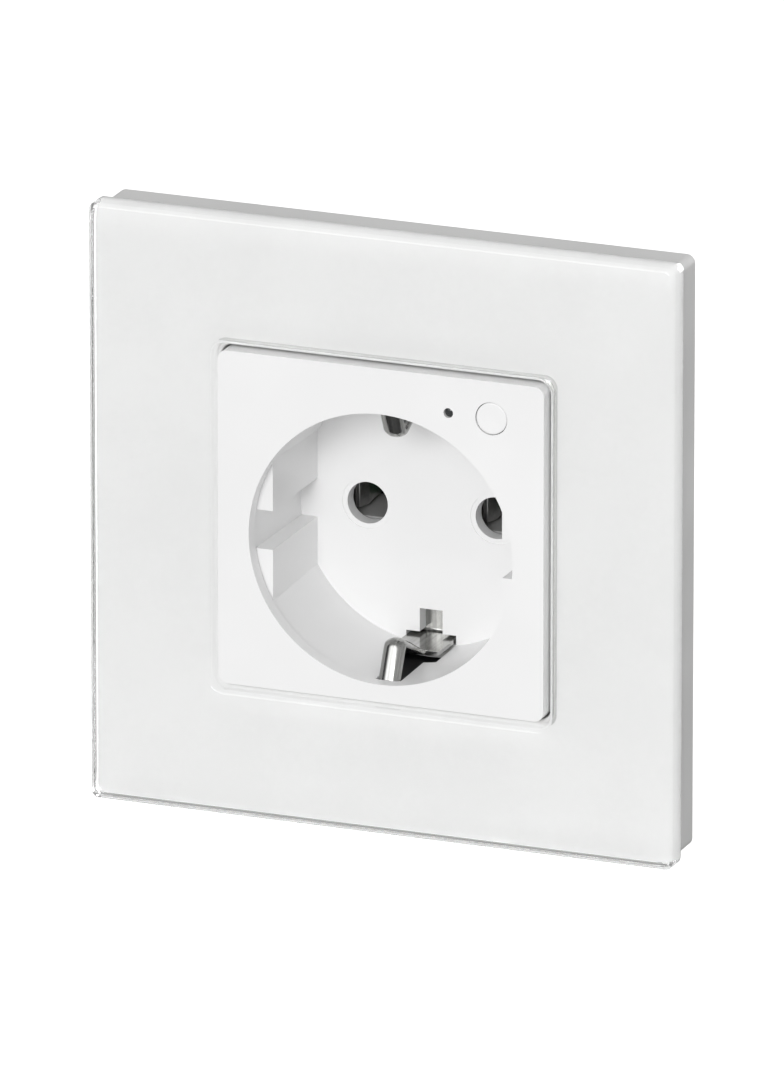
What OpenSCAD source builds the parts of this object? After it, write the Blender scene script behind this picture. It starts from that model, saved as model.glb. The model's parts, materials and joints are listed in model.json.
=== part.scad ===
// Flush-mounted metering wall socket with a glass frame.
// X points right, Y points into the wall and Z points up.
// The origin lies on the wall plane, at the centre of the frame.

/* [Glass frame] */
// Side of the square glass frame
panel_side = 86; // [80:1:110]
// Thickness of the glass
glass_t = 4; // [3:0.5:6]
// Radius of the outer corners of the glass
panel_corner_r = 1; // [0.6:0.1:4]
// Width of the ground edge round the glass
glass_chamfer = 0.5; // [0.2:0.05:0.8]
// Gap between the insert and the glass, all round
insert_gap = 1; // [0.8:0.05:3]
// Radius of the inner corners of the glass
opening_corner_r = 2; // [1.5:0.1:5]
// Thickness of the white adhesive film behind the glass
film_t = 0.2; // [0.2:0.05:0.6]
// How far the film stops short of the glass edge
film_inset = 0.4; // [0.2:0.1:2]

/* [Carrier] */
// Depth of the carrier, from the film to the wall
carrier_depth = 5.8; // [5.5:0.1:12]
// How far the carrier stops short of the glass edge
carrier_inset = 0.6; // [0.3:0.1:3]
// Wall of the carrier
carrier_wall = 1.8; // [1.2:0.1:2.4]
// Radius of the outer corners of the carrier
carrier_corner_r = 1.2; // [1.2:0.1:4]
// Depth of the collar behind the face of the insert
collar_step = 2; // [1.5:0.1:3]
// Thickness of the ribs and the clip legs
rib_t = 1.6; // [1:0.1:2]
// Height of the ribs on the back of the carrier
rib_h = 1.2; // [0.6:0.1:1.3]
// Width of each clip leg
leg_w = 10; // [6:0.5:14]
// Half the distance between the two legs on one side
leg_offset = 20; // [14:0.5:24]

/* [Insert face] */
// Side of the square insert
insert_side = 48; // [44:0.5:58]
// Radius of the corners of the insert
insert_corner_r = 1.4; // [0.8:0.1:3]
// Thickness of the insert's face
insert_t = 2.2; // [1.6:0.1:3]
// How far the insert's face lies behind the face of the glass
insert_recess = 0.4; // [0:0.05:0.6]
// Wall of the skirt behind the insert's face
skirt_wall = 1.6; // [1.2:0.1:2]

/* [Plug well] */
// Diameter of the well at its mouth
well_d = 39.6; // [38:0.1:48]
// How much the well's wall leans in from mouth to floor, on each side
well_draft = 0.35; // [0.1:0.05:0.6]
// Depth of the well
well_depth = 19; // [15:0.5:24]
// Wall round the well
well_wall = 1.4; // [1:0.1:2]
// Thickness of the well's floor
floor_t = 2.3; // [1.8:0.1:3]
// How far the well's centre lies below the frame's centre
well_drop = 2; // [0:0.5:4]
// How far each guide flat stands inside the well's wall
guide_in = 2.9; // [2:0.1:4]
// Depth of the guide blocks behind the face
guide_step = 2.6; // [1:0.1:6]
// Width of the groove between two guide blocks
groove_w = 5.6; // [4:0.1:8]
// Distance between the two pin holes
pin_spacing = 19; // [16:0.5:23]
// Diameter of each pin hole
pin_hole_d = 6; // [5:0.1:7]
// Diameter of the shallow ring round each pin hole
pin_ring_d = 7.4; // [6.5:0.1:8.4]
// Depth of that ring
pin_ring_step = 0.15; // [0.1:0.05:0.4]

/* [Earth clips] */
// Thickness of the spring steel
clip_t = 0.7; // [0.5:0.1:1]
// Width of the spring end of each clip
clip_w = 3.2; // [2.6:0.1:5]
// Width of the strap behind the floor
strap_w = 7; // [5:0.1:9]
// How far the crest of the clip stands inside the well's wall
crest_in = 4.8; // [3.8:0.1:6]
// Depth of the crest behind the face
crest_depth = 5.8; // [5:0.1:9]
// Depth at which the clip leaves the wall
tip_depth = 3.1; // [2:0.1:4]
// How far the clip's leg stands inside the well's wall
leg_in = 1.3; // [1.1:0.1:1.6]
// Depth at which the clip widens to the strap
widen_depth = 12.5; // [10:0.5:16]
// Clearance round the clip in its slots
slot_gap = 0.2; // [0.1:0.05:0.5]
// Width of the small tooling notch beside each clip slot
notch_w = 3.4; // [2:0.1:4]
// Length of that notch
notch_l = 3.4; // [2:0.1:4]

/* [Button and light] */
// Diameter of the button
button_d = 4.5; // [3.5:0.1:6]
// Travel of the button
button_travel = 0.5; // [0.25:0.05:0.6]
// Distance of the button from the right and top edges of the insert
button_edge = [7.7, 5.3]; // [5:0.1:9]
// Diameter of the light hole
light_d = 1.4; // [1:0.1:2]
// How far the light guide lies behind the face
light_in = 0.3; // [0.1:0.1:1.5]
// Distance of the light hole from the right and top edges of the insert
light_edge = [14, 5.2]; // [4.5:0.1:16]
// Gap round the button
button_gap = 0.1; // [0.1:0.05:0.3]

/* [Mounting plate] */
// Thickness of the steel plate
steel_t = 1; // [0.8:0.1:1.5]
// Margin between the steel plate and the inside of the carrier
steel_margin = 5.1; // [4:0.1:8]
// Distance between two opposite box screws
box_pitch = 60; // [60:0.5:68]
// Width of the box screw slots
box_slot_w = 3.8; // [3.4:0.1:4.4]
// Length of the box screw slots
box_slot_l = 6; // [5:0.5:8]
// Height of the folded lips
lip_h = 1.4; // [1:0.1:1.5]

/* [Rear housing] */
// Diameter of the rear housing
housing_d = 56; // [52:0.5:68]
// Distance between two opposite flats of the housing
housing_flats = 51; // [48:0.5:62]
// Wall of the housing
housing_wall = 1.8; // [1.4:0.1:2.2]
// Room behind the well's floor, for the electronics
rear_room = 25; // [24:0.5:34]
// Thickness of the flange on the steel plate
flange_t = 1.6; // [1.4:0.1:2]
// How far the flange reaches past the flats
flange_lap = 1.3; // [1:0.1:2]
// Distance of the screw pillars from the well's centre, right and down
pillar_at = [17.5, 7.5]; // [5:0.5:18]
// Diameter of each pillar
pillar_d = 7.4; // [6.6:0.1:8]

/* [Terminals] */
// Distance between two terminals
terminal_pitch = 7.3; // [7:0.1:9]
// Diameter of each wire entry
wire_d = 4; // [3.6:0.1:4.2]
// Travel of each clamp
clamp_travel = 3; // [2:0.1:3.1]
// Outer width of each clamp
cage_w = 6; // [5.6:0.1:6.2]
// Length of each clamp along the wire
cage_l = 6.5; // [5:0.1:8]
// Wall of each clamp
cage_wall = 1.2; // [0.8:0.1:1.4]
// Diameter of the clamp screw's thread
clamp_screw_d = 3; // [2.5:0.1:3.4]
// Diameter of the clamp screw's head
clamp_head_d = 4.8; // [4.2:0.1:5.2]

/* [Boards] */
// Thickness of the power board
board_t = 1.6; // [1.2:0.1:2]
// Room between the power board and the back of the housing
back_room = 4.6; // [4.2:0.1:8]
// Thickness of the front board
front_board_t = 1; // [0.8:0.1:1.2]
// Width, depth and height of the relay
relay_size = [28, 15.2, 12]; // [8:0.1:30]
// Width, depth and height of the supply transformer
transformer_size = [8.2, 9.5, 7.6]; // [6:0.1:12]
// Diameter of the smoothing capacitor
capacitor_d = 8; // [6:0.1:8.2]
// Length of the smoothing capacitor
capacitor_l = 12; // [8:0.5:14]

/* [Hidden] */
$fn = 64;

// Small overlap that keeps a cut clear of the face it starts from
cut = 0.1;
// Clearances
run_gap = 0.06;
slide_gap = 0.2;
seat_gap = 0.1;
collar_gap = 0.3;
glass_gap = 0.1;

// Depths, from the front to the back
film_back_y = -carrier_depth;
glass_back_y = film_back_y - film_t;
glass_front_y = glass_back_y - glass_t;
face_y = glass_front_y + insert_recess;
face_back_y = face_y + insert_t;
floor_front_y = face_y + well_depth;
floor_back_y = floor_front_y + floor_t;
steel_front_y = -steel_t;
flange_front_y = steel_front_y - flange_t;
skirt_end_y = flange_front_y - seat_gap;
housing_back_y = floor_back_y + rear_room + housing_wall;
inner_back_y = housing_back_y - housing_wall;
board_back_y = inner_back_y - back_room;
board_y = board_back_y - board_t;
web_back_y = film_back_y + carrier_wall;
collar_front_y = face_y + collar_step;

// Frame, carrier and steel plate
opening_side = insert_side + 2 * insert_gap;
collar_outer = opening_side - 2 * glass_gap;
collar_inner = insert_side + 2 * collar_gap;
carrier_side = panel_side - 2 * carrier_inset;
carrier_inner = carrier_side - 2 * carrier_wall;
steel_side = carrier_inner - 2 * steel_margin;
flange_half = housing_flats / 2 + flange_lap;
plate_screw_r = 1;
plate_screw_head_r = 1.9;
plate_screw_at = (housing_d / 2 + 2.5) / sqrt(2);

// Insert
well_r = well_d / 2;
well_floor_r = well_r - well_draft;
guide_x = well_r - guide_in;
crest_r = well_r - crest_in;
leg_r = well_r - leg_in;
tube_r = well_r + well_wall;
skirt_inner = insert_side - 2 * skirt_wall;
button_at = [insert_side / 2 - button_edge[0], insert_side / 2 - button_edge[1]];
light_at = [insert_side / 2 - light_edge[0], insert_side / 2 - light_edge[1]];
pin_x = pin_spacing / 2;
slot_outer_r = leg_r + clip_t / 2 + slot_gap;
slot_inner_r = leg_r - clip_t / 2 - 0.45;
liner_t = 0.6;

// Front board, in the corner of the insert beside the well
front_board_y = flange_front_y - front_board_t - seat_gap;
front_board_edge = skirt_inner / 2 - 0.5;
link_x = housing_flats / 2 - housing_wall - 3.4;
link_z = housing_d / 2 - 15.5;
front_board_low = link_z - 4;
post_at = [[light_at[0] - 4.4, front_board_edge - 1.5], [front_board_edge - 1.5, front_board_edge - 1.5]];
post_r = 1.3;
post_pin_r = 0.6;
switch_side = 4.5;
switch_h = 2;
switch_y = front_board_y - switch_h;
plunger_r = 1.2;
plunger_out = 0.9;
plunger_y = switch_y - plunger_out;
plunger_in = 0.4;
button_r = button_d / 2;
button_flange_r = button_r + 0.7;
button_front_y = face_y + 0.05;
link_pins = 4;
link_pitch = 1.27;
link_pin_r = 0.25;

// Pillars and the screws in them
pillar_z = -well_drop - pillar_at[1];
pillar_front_y = floor_back_y + 6;
pillar_floor = 1.8;
boss_r = 2.3;
housing_screw_r = 1.1;
housing_screw_head_r = 2;
housing_screw_l = 6.5;

// Contacts behind the floor
contact_front_y = floor_back_y + 2.8;
contact_back_y = board_y - 1.4;
contact_t = 0.8;
contact_half = 2.9;
leaf_flare = 0.3;
contact_h = 5;
strap_y = floor_back_y + clip_t / 2 + seat_gap;
base_front_y = floor_back_y + clip_t + 2 * seat_gap;
base_web = 2.4;
base_back_y = base_front_y + 10;
base_half = [pin_x + contact_half + 2.7, contact_h / 2 + 1.7];
pocket_half = [contact_half + 1.9, contact_h / 2 + 0.4];
base_screw_z = 2.6;
base_screw_r = 1;

// Terminals, from the screw heads upwards
block_low_z = -housing_flats / 2 + housing_wall + 0.3;
head_h = 1.6;
head_low_z = block_low_z + 0.3;
shoulder_z = head_low_z + head_h;
shoulder_t = 0.5;
pocket_low_z = shoulder_z + shoulder_t;
cage_low_z = pocket_low_z + slide_gap + clamp_travel;
tongue_t = 1.2;
tongue_low_z = cage_low_z + cage_wall + 0.4;
tongue_top_z = tongue_low_z + tongue_t;
wire_z = tongue_top_z + wire_d / 2;
cage_top_z = tongue_top_z + wire_d + cage_wall;
block_top_z = cage_top_z + 1.3;
block_back_y = inner_back_y - 0.2;
block_l = 13.5;
block_front_y = block_back_y - block_l;
block_half_x = terminal_pitch + cage_w / 2 + 1.1;
cage_y = block_back_y - cage_l / 2 - 2;
tongue_w = cage_w - 2 * cage_wall;

// Board outline
board_gap = 0.5;
board_cut_z = block_top_z + 0.4;

// Parts on the front of the power board, in X and Z
relay_low_z = -well_drop + base_half[1] + 1.2;
relay_at = [-2.5, relay_low_z + relay_size[2] / 2];
relay_top_z = relay_low_z + relay_size[2];
relay_rim = 0.75;
relay_recess = 0.6;
side_part_x = (base_half[0] + housing_flats / 2 - housing_wall) / 2;
transformer_at = [side_part_x, -well_drop + 2.2];
winding_in = 1.6;
core_step = 3;
core_in = 2;
capacitor_at = [-side_part_x, -well_drop + 2.4];
capacitor_vent = [4.8, 0.2, 0.3];
fuse_at = [5.5, relay_top_z + 2.6];
fuse_r = 2.2;
fuse_l = 8;
varistor_at = [-6.5, relay_top_z + 2.4];
varistor_size = [9, 12, 3.4];

// Parts on the back of the power board: lowest corner in X and Z, then width, depth and height
chip_low = [12, -4];
chip_size = [4, 1.5, 10];
shunt_low = [3.4, 12];
shunt_size = [6.4, 1, 3.2];
radio_low = [-15, 1.5];
radio_size = [16, 0.8, 18];
radio_shield_low = [-14, 2.5];
radio_shield_size = [14, 2.2, 11.5];

// ---------- helpers ----------

// Extrudes an X-Z outline from y0 to y1
module slab(y0, y1) {
    translate([0, y1, 0]) rotate([90, 0, 0]) linear_extrude(y1 - y0) children();
}

// Extrudes a Y-Z outline across X, centred on x
module across(width, x = 0) {
    translate([x - width / 2, 0, 0]) rotate([90, 0, 90]) linear_extrude(width) children();
}

// Round bar along Y
module rod(at, r, y0, y1) {
    slab(y0, y1) translate(at) circle(r);
}

// Box given by its lowest corner and highest corner
module block(low, high) {
    translate(low) cube(high - low);
}

// Square with true round corners
module rounded_square(side, r) {
    square([side - 2 * r, side], center = true);
    square([side, side - 2 * r], center = true);
    for (sx = [-1, 1], sz = [-1, 1]) {
        translate([sx * (side / 2 - r), sz * (side / 2 - r)]) circle(r);
    }
}

// Places a child at the well's centre
module at_well() {
    translate([0, -well_drop]) children();
}

// Outline of the rear housing: a disc with four flats
module housing_outline(grow = 0) {
    intersection() {
        circle(housing_d / 2 + grow);
        square(housing_flats + 2 * grow, center = true);
    }
}

// A bent strip is a path with rounded corners and a thickness
function unit(v) = v / norm(v);
function left(v) = [-v[1], v[0]];
function bend(p, i, r, steps) =
    let (a = unit(p[i - 1] - p[i]), b = unit(p[i + 1] - p[i]), half = acos(a * b) / 2)
    let (c = p[i] + unit(a + b) * r / sin(half), s = p[i] + a * r / tan(half))
    let (e = p[i] + b * r / tan(half), t0 = atan2(s[1] - c[1], s[0] - c[0]))
    let (turn = (atan2(e[1] - c[1], e[0] - c[0]) - t0 + 540) % 360 - 180)
    [for (k = [0:steps]) c + r * [cos(t0 + turn * k / steps), sin(t0 + turn * k / steps)]];
function bent(p, r, steps = 5) =
    concat([p[0]], [for (i = [1:len(p) - 2]) each bend(p, i, is_list(r) ? r[i] : r, steps)],
        [p[len(p) - 1]]);
function beside(p, i, d) =
    let (a = left(unit(i == 0 ? p[1] - p[0] : p[i] - p[i - 1])))
    let (b = left(unit(i == len(p) - 1 ? p[i] - p[i - 1] : p[i + 1] - p[i])))
    p[i] + unit(a + b) * d / (unit(a + b) * a);
function strip_outline(p, t) =
    concat([for (i = [0:len(p) - 1]) beside(p, i, t / 2)],
        [for (i = [len(p) - 1:-1:0]) beside(p, i, -t / 2)]);
module strip(p, t) {
    polygon(strip_outline(p, t));
}

// ---------- frame ----------

module glass_panel() {
    bevel = glass_chamfer;
    skin = 0.01;
    color([0.96, 0.98, 0.98, 0.7]) difference() {
        hull() {
            slab(glass_front_y + bevel, glass_back_y - bevel / 2)
                rounded_square(panel_side, panel_corner_r, $fn = 32);
            slab(glass_front_y, glass_front_y + skin)
                rounded_square(panel_side - 2 * bevel, panel_corner_r, $fn = 32);
            slab(glass_back_y - skin, glass_back_y)
                rounded_square(panel_side - bevel, panel_corner_r, $fn = 32);
        }
        slab(glass_front_y - cut, glass_back_y + cut)
            rounded_square(opening_side, opening_corner_r, $fn = 32);
        hull() {
            slab(glass_front_y - skin, glass_front_y)
                rounded_square(opening_side + 2 * bevel, opening_corner_r + bevel, $fn = 32);
            slab(glass_front_y, glass_front_y + bevel)
                rounded_square(opening_side, opening_corner_r, $fn = 32);
        }
    }
}

module panel_film() {
    color("white") slab(glass_back_y, film_back_y) difference() {
        rounded_square(panel_side - 2 * film_inset, panel_corner_r);
        rounded_square(opening_side + 2 * film_inset, opening_corner_r);
    }
}

module panel_carrier() {
    inner = carrier_inner / 2;
    collar_back_y = web_back_y + rib_h;
    color("gainsboro") {
        difference() {
            union() {
                difference() {
                    slab(film_back_y, 0) rounded_square(carrier_side, carrier_corner_r);
                    slab(web_back_y, cut) rounded_square(carrier_inner, carrier_corner_r / 2);
                }
                slab(collar_front_y, collar_back_y)
                    rounded_square(collar_outer, opening_corner_r - glass_gap);
                for (turn = [0:90:270], side = [-1, 1]) {
                    rotate([0, turn, 0]) slab(web_back_y - cut, collar_back_y)
                        translate([side * leg_offset - rib_t / 2, collar_outer / 2 - 1])
                        square([rib_t, inner - collar_outer / 2 + 1.5]);
                }
            }
            slab(collar_front_y - cut, cut)
                rounded_square(collar_inner, insert_corner_r + collar_gap);
        }
        for (side = [-1, 1], level = [-1, 1]) {
            mirror([side < 0 ? 1 : 0, 0, 0]) block(
                [steel_side / 2 + slide_gap, web_back_y - cut, level * leg_offset - leg_w / 2],
                [steel_side / 2 + slide_gap + rib_t, -slide_gap, level * leg_offset + leg_w / 2]);
        }
    }
}

// ---------- steel plate ----------

module box_slot() {
    half = (box_slot_l - box_slot_w) / 2;
    square([2 * half, box_slot_w], center = true);
    for (side = [-1, 1]) translate([side * half, 0]) circle(box_slot_w / 2);
}

module mounting_plate() {
    color("silver") {
        slab(steel_front_y, 0) difference() {
            rounded_square(steel_side, 2);
            housing_outline(slide_gap);
            for (turn = [0:90:270]) rotate(turn) translate([box_pitch / 2, 0]) box_slot();
            for (sx = [-1, 1], sz = [-1, 1]) {
                translate([sx, sz] * plate_screw_at) circle(plate_screw_r + run_gap);
            }
        }
        for (side = [-1, 1]) {
            low = side > 0 ? steel_side / 2 - steel_t : -steel_side / 2;
            block([-steel_side / 2 + 3, steel_front_y - lip_h, low],
                [steel_side / 2 - 3, steel_front_y, low + steel_t]);
        }
    }
}

module plate_screws() {
    head = plate_screw_head_r - plate_screw_r;
    color("silver") for (sx = [-1, 1], sz = [-1, 1]) {
        translate([sx * plate_screw_at, 0, sz * plate_screw_at]) difference() {
            union() {
                rod([0, 0], plate_screw_r, flange_front_y + head, -0.05);
                translate([0, flange_front_y, 0]) rotate([-90, 0, 0])
                    cylinder(h = head, r1 = plate_screw_head_r, r2 = plate_screw_r);
            }
            for (turn = [0, 90]) rotate([0, turn, 0])
                block([-1.1, flange_front_y - cut, -0.22], [1.1, flange_front_y + 0.5, 0.22]);
        }
    }
}

// ---------- insert ----------

// Cut for one earth clip, on the lower side of the well
module clip_slots() {
    narrow = clip_w / 2 + slot_gap;
    wide = strap_w / 2 + slot_gap;
    low = -well_drop - slot_outer_r;
    block([-narrow, face_y + tip_depth - 1, -well_drop - tube_r - 1],
        [narrow, floor_front_y, -well_drop - slot_inner_r - 0.5]);
    block([-wide, face_y + widen_depth - 1, -well_drop - tube_r - 1],
        [wide, floor_front_y, -well_drop - slot_inner_r - 0.5]);
    block([-wide, floor_front_y - cut, low], [wide, floor_back_y + cut, low + slot_outer_r - slot_inner_r]);
    block([-notch_w / 2, floor_front_y - cut, -well_drop - slot_inner_r - cut],
        [notch_w / 2, floor_back_y + cut, -well_drop - slot_inner_r + notch_l]);
}

// Filled side segments of the well that guide the plug
module guides() {
    slab(face_y + guide_step, floor_front_y + cut) at_well() difference() {
        circle(well_r + cut);
        square([2 * guide_x, 2 * well_d], center = true);
        square([2 * well_d, groove_w], center = true);
    }
}

module socket_cover() {
    color("white") difference() {
        union() {
            slab(face_y, face_back_y) rounded_square(insert_side, insert_corner_r);
            slab(face_y, skirt_end_y) difference() {
                rounded_square(insert_side, insert_corner_r);
                rounded_square(skirt_inner, 0.4);
            }
            difference() {
                slab(face_y, floor_back_y) at_well() circle(tube_r, $fn = 128);
                translate([0, face_y - cut, -well_drop]) rotate([-90, 0, 0])
                    cylinder(h = well_depth + cut, r1 = well_r, r2 = well_floor_r, $fn = 128);
            }
            guides();
            for (sx = [-1, 1]) rod([sx * pillar_at[0], pillar_z], boss_r, floor_back_y - cut,
                pillar_front_y - seat_gap);
            for (at = post_at) {
                rod(at, post_r, face_back_y - cut, front_board_y);
                rod(at, post_pin_r, front_board_y - cut, front_board_y + front_board_t);
            }
        }
        translate([0, face_y - cut, -well_drop]) rotate([-90, 0, 0])
            cylinder(h = guide_step + cut, r = well_floor_r, $fn = 128);
        for (side = [-1, 1]) {
            rod([side * pin_x, -well_drop], pin_hole_d / 2, floor_front_y - cut, floor_back_y + cut);
            rod([side * pin_x, -well_drop], pin_ring_d / 2, floor_front_y - cut,
                floor_front_y + pin_ring_step);
            rod([side * pillar_at[0], pillar_z], housing_screw_r - 0.1, floor_back_y - 0.4,
                pillar_front_y);
            rod([0, -well_drop + side * base_screw_z], base_screw_r - 0.05, floor_front_y + 0.9,
                floor_back_y + cut);
        }
        clip_slots();
        translate([0, 0, -2 * well_drop]) mirror([0, 0, 1]) clip_slots();
        liner_seat(cut);
        rod(button_at, button_r + button_gap, face_y - cut, face_back_y + cut);
        rod(light_at, light_d / 2, face_y - cut, face_back_y + cut);
    }
}

// Place of the strip in the skirt, longer than it at its open ends by the given amount
module liner_seat(longer = 0) {
    half = clip_w / 2 + slot_gap;
    block([-half, face_y + tip_depth - 1, -insert_side / 2 - longer],
        [half, skirt_end_y + longer, -insert_side / 2 + liner_t]);
}

// Dark strip that closes the lower clip slot where it runs through the skirt
module slot_liner() {
    color("dimgray") liner_seat();
}

module button_cap() {
    flange_y = face_back_y + seat_gap;
    color("white") {
        rod(button_at, button_r, button_front_y, flange_y + cut);
        rod(button_at, button_flange_r, flange_y, flange_y + 0.5);
        rod(button_at, plunger_r, flange_y, plunger_y);
    }
}

module switch_plunger() {
    color("dimgray") rod(button_at, plunger_r, plunger_y, switch_y + plunger_in);
}

module tact_switch() {
    color("gray") difference() {
        translate([button_at[0], 0, button_at[1]]) block([-switch_side / 2, switch_y, -switch_side / 2],
            [switch_side / 2, front_board_y, switch_side / 2]);
        rod(button_at, plunger_r + run_gap, switch_y - cut,
            switch_y + plunger_in + button_travel + slide_gap);
    }
}

module status_led() {
    color("lightyellow") translate([light_at[0], 0, light_at[1]])
        block([-0.8, front_board_y - 0.6, -0.4], [0.8, front_board_y, 0.4]);
}

module light_pipe() {
    color("lightcyan") {
        rod(light_at, light_d / 2 - 0.05, face_y + light_in, front_board_y - 0.7);
        rod(light_at, light_d / 2 + 0.4, face_back_y, face_back_y + 0.8);
    }
}

module front_board() {
    color("darkgreen") slab(front_board_y, front_board_y + front_board_t) difference() {
        translate([post_at[0][0] - 1.5, front_board_low])
            square([front_board_edge - post_at[0][0] + 1.5, front_board_edge - front_board_low]);
        at_well() circle(tube_r + 0.4, $fn = 128);
        for (at = post_at) translate(at) circle(post_pin_r + run_gap);
        link_holes();
    }
}

// Row of places for the pins between the two boards
module link_places() {
    for (k = [0:link_pins - 1]) {
        translate([link_x, link_z + (k - (link_pins - 1) / 2) * link_pitch]) children();
    }
}

module link_holes() {
    link_places() circle(link_pin_r + run_gap);
}

module link_header() {
    half_z = link_pins * link_pitch / 2;
    strip_t = 1.6;
    color("goldenrod") slab(front_board_y - 0.6, board_back_y + 0.6) link_places() circle(link_pin_r);
    color("black") {
        block([link_x - 0.8, front_board_y + front_board_t, link_z - half_z],
            [link_x + 0.8, front_board_y + front_board_t + strip_t, link_z + half_z]);
        block([link_x - 0.8, board_y - strip_t, link_z - half_z],
            [link_x + 0.8, board_y, link_z + half_z]);
    }
}

// ---------- housing ----------

// Row of cooling slots on one side of the housing
module vents() {
    for (k = [-2:2]) {
        block([housing_flats / 2 - housing_wall - cut, board_y - 12, k * 3 - 0.6],
            [housing_flats / 2 + cut, board_y - 4, k * 3 + 0.6]);
    }
}

module rear_housing() {
    head = plate_screw_head_r - plate_screw_r;
    color("dimgray") difference() {
        union() {
            difference() {
                union() {
                    slab(flange_front_y, housing_back_y) housing_outline();
                    slab(flange_front_y, steel_front_y) intersection() {
                        circle(housing_d / 2 + 5.5);
                        square(2 * flange_half, center = true);
                    }
                }
                slab(flange_front_y - cut, inner_back_y) housing_outline(-housing_wall);
            }
            for (sx = [-1, 1]) {
                rod([sx * pillar_at[0], pillar_z], pillar_d / 2, pillar_front_y, housing_back_y);
            }
        }
        for (sx = [-1, 1]) {
            rod([sx * pillar_at[0], pillar_z], housing_screw_head_r + 0.3,
                pillar_front_y + pillar_floor, housing_back_y + cut);
            rod([sx * pillar_at[0], pillar_z], housing_screw_r + run_gap, pillar_front_y - cut,
                pillar_front_y + pillar_floor + cut);
        }
        for (k = [-1:1]) {
            rod([k * terminal_pitch, wire_z], wire_d / 2, inner_back_y - cut, housing_back_y + cut);
            translate([k * terminal_pitch, cage_y, -housing_flats / 2 - cut])
                cylinder(h = housing_wall + 2 * cut, d = clamp_head_d + 0.6);
        }
        for (sx = [-1, 1], sz = [-1, 1]) {
            rod([sx, sz] * plate_screw_at, plate_screw_r + run_gap, flange_front_y - cut, 0);
            translate([sx * plate_screw_at, flange_front_y - run_gap, sz * plate_screw_at])
                rotate([-90, 0, 0])
                cylinder(h = head + run_gap, r1 = plate_screw_head_r + 2 * run_gap,
                    r2 = plate_screw_r + run_gap);
        }
        vents();
        mirror([1, 0, 0]) vents();
    }
}

module housing_screws() {
    seat_y = pillar_front_y + pillar_floor;
    color("silver") for (sx = [-1, 1]) {
        translate([sx * pillar_at[0], 0, pillar_z]) difference() {
            union() {
                rod([0, 0], housing_screw_r - 0.1, seat_y - housing_screw_l, seat_y);
                rod([0, 0], housing_screw_head_r, seat_y, seat_y + 1.4);
            }
            for (turn = [0, 90]) rotate([0, turn, 0])
                block([-1.2, seat_y + 0.7, -0.25], [1.2, seat_y + 1.5, 0.25]);
        }
    }
}

// ---------- contacts ----------

module contact_base() {
    color("dimgray") difference() {
        block([-base_half[0], base_front_y, -well_drop - base_half[1]],
            [base_half[0], base_back_y, -well_drop + base_half[1]]);
        for (side = [-1, 1]) {
            block([side * pin_x - pocket_half[0], base_front_y - cut, -well_drop - pocket_half[1]],
                [side * pin_x + pocket_half[0], base_back_y + cut, -well_drop + pocket_half[1]]);
            rod([0, -well_drop + side * base_screw_z], base_screw_r + run_gap, base_front_y - cut,
                base_back_y + cut);
        }
        block([-pin_x + pocket_half[0] + 1.2, base_front_y + base_web, -well_drop - base_half[1] - cut],
            [pin_x - pocket_half[0] - 1.2, base_back_y + cut, -well_drop + base_half[1] + cut]);
    }
}

module base_screws() {
    seat_y = base_front_y + base_web;
    color("silver") for (side = [-1, 1]) {
        translate([0, 0, -well_drop + side * base_screw_z]) difference() {
            union() {
                rod([0, 0], base_screw_r - 0.05, floor_front_y + 1, seat_y);
                rod([0, 0], 1.8, seat_y, seat_y + 1.2);
            }
            for (turn = [0, 90]) rotate([0, turn, 0])
                block([-1, seat_y + 0.6, -0.2], [1, seat_y + 1.3, 0.2]);
        }
    }
}

// Path of the strap in Y and Z, from the tip of the lower clip to that of the upper one
function clip_path(side) = [
    [face_y + tip_depth - 0.4, side * (well_r + 0.9)],
    [face_y + tip_depth + 0.1, side * (well_r - 0.6)],
    [face_y + crest_depth - 0.4, side * (crest_r - 0.6)],
    [face_y + crest_depth + 2.4, side * (crest_r + 0.7)],
    [face_y + widen_depth, side * leg_r],
    [strap_y, side * leg_r]
];

// Radius of the bend at each point of that path
clip_radii = [0, 1, 1.4, 2, 2, 0.8];

module earth_strap() {
    low = clip_path(-1);
    high = clip_path(1);
    radii = concat(clip_radii, [for (i = [len(high) - 1:-1:0]) clip_radii[i]]);
    path = bent(concat(low, [for (i = [len(high) - 1:-1:0]) high[i]]), radii, 8);
    color("silver") difference() {
        translate([0, 0, -well_drop]) union() {
            across(clip_w) strip(path, clip_t);
            intersection() {
                across(strap_w) strip(path, clip_t);
                block([-strap_w, face_y + widen_depth, -well_d], [strap_w, board_y, well_d]);
            }
        }
        for (side = [-1, 1]) {
            rod([0, -well_drop + side * base_screw_z], base_screw_r + run_gap, floor_back_y,
                base_front_y);
        }
    }
}

// One side of the pin contact, in X and Y about the pin's axis, sprung open as a pin holds it
function leaf(side) = [
    [side * (contact_half + 0.6), contact_front_y],
    [side * contact_half, contact_front_y + 2],
    [side * (contact_half + leaf_flare), contact_front_y + 5],
    [side * (contact_half + leaf_flare), contact_back_y]
];

module pin_contact(side) {
    right = leaf(1);
    path = bent(concat(leaf(-1), [for (i = [len(right) - 1:-1:0]) right[i]]), 0.7);
    translate([side * pin_x, 0, -well_drop]) {
        translate([0, 0, -contact_h / 2]) linear_extrude(contact_h) strip(path, contact_t);
        block([-contact_t, contact_back_y, -contact_h / 2],
            [contact_t, board_back_y + 0.8, contact_h / 2]);
    }
}

module line_contact() {
    color("goldenrod") pin_contact(-1);
}

module neutral_contact() {
    color("goldenrod") pin_contact(1);
}

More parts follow.
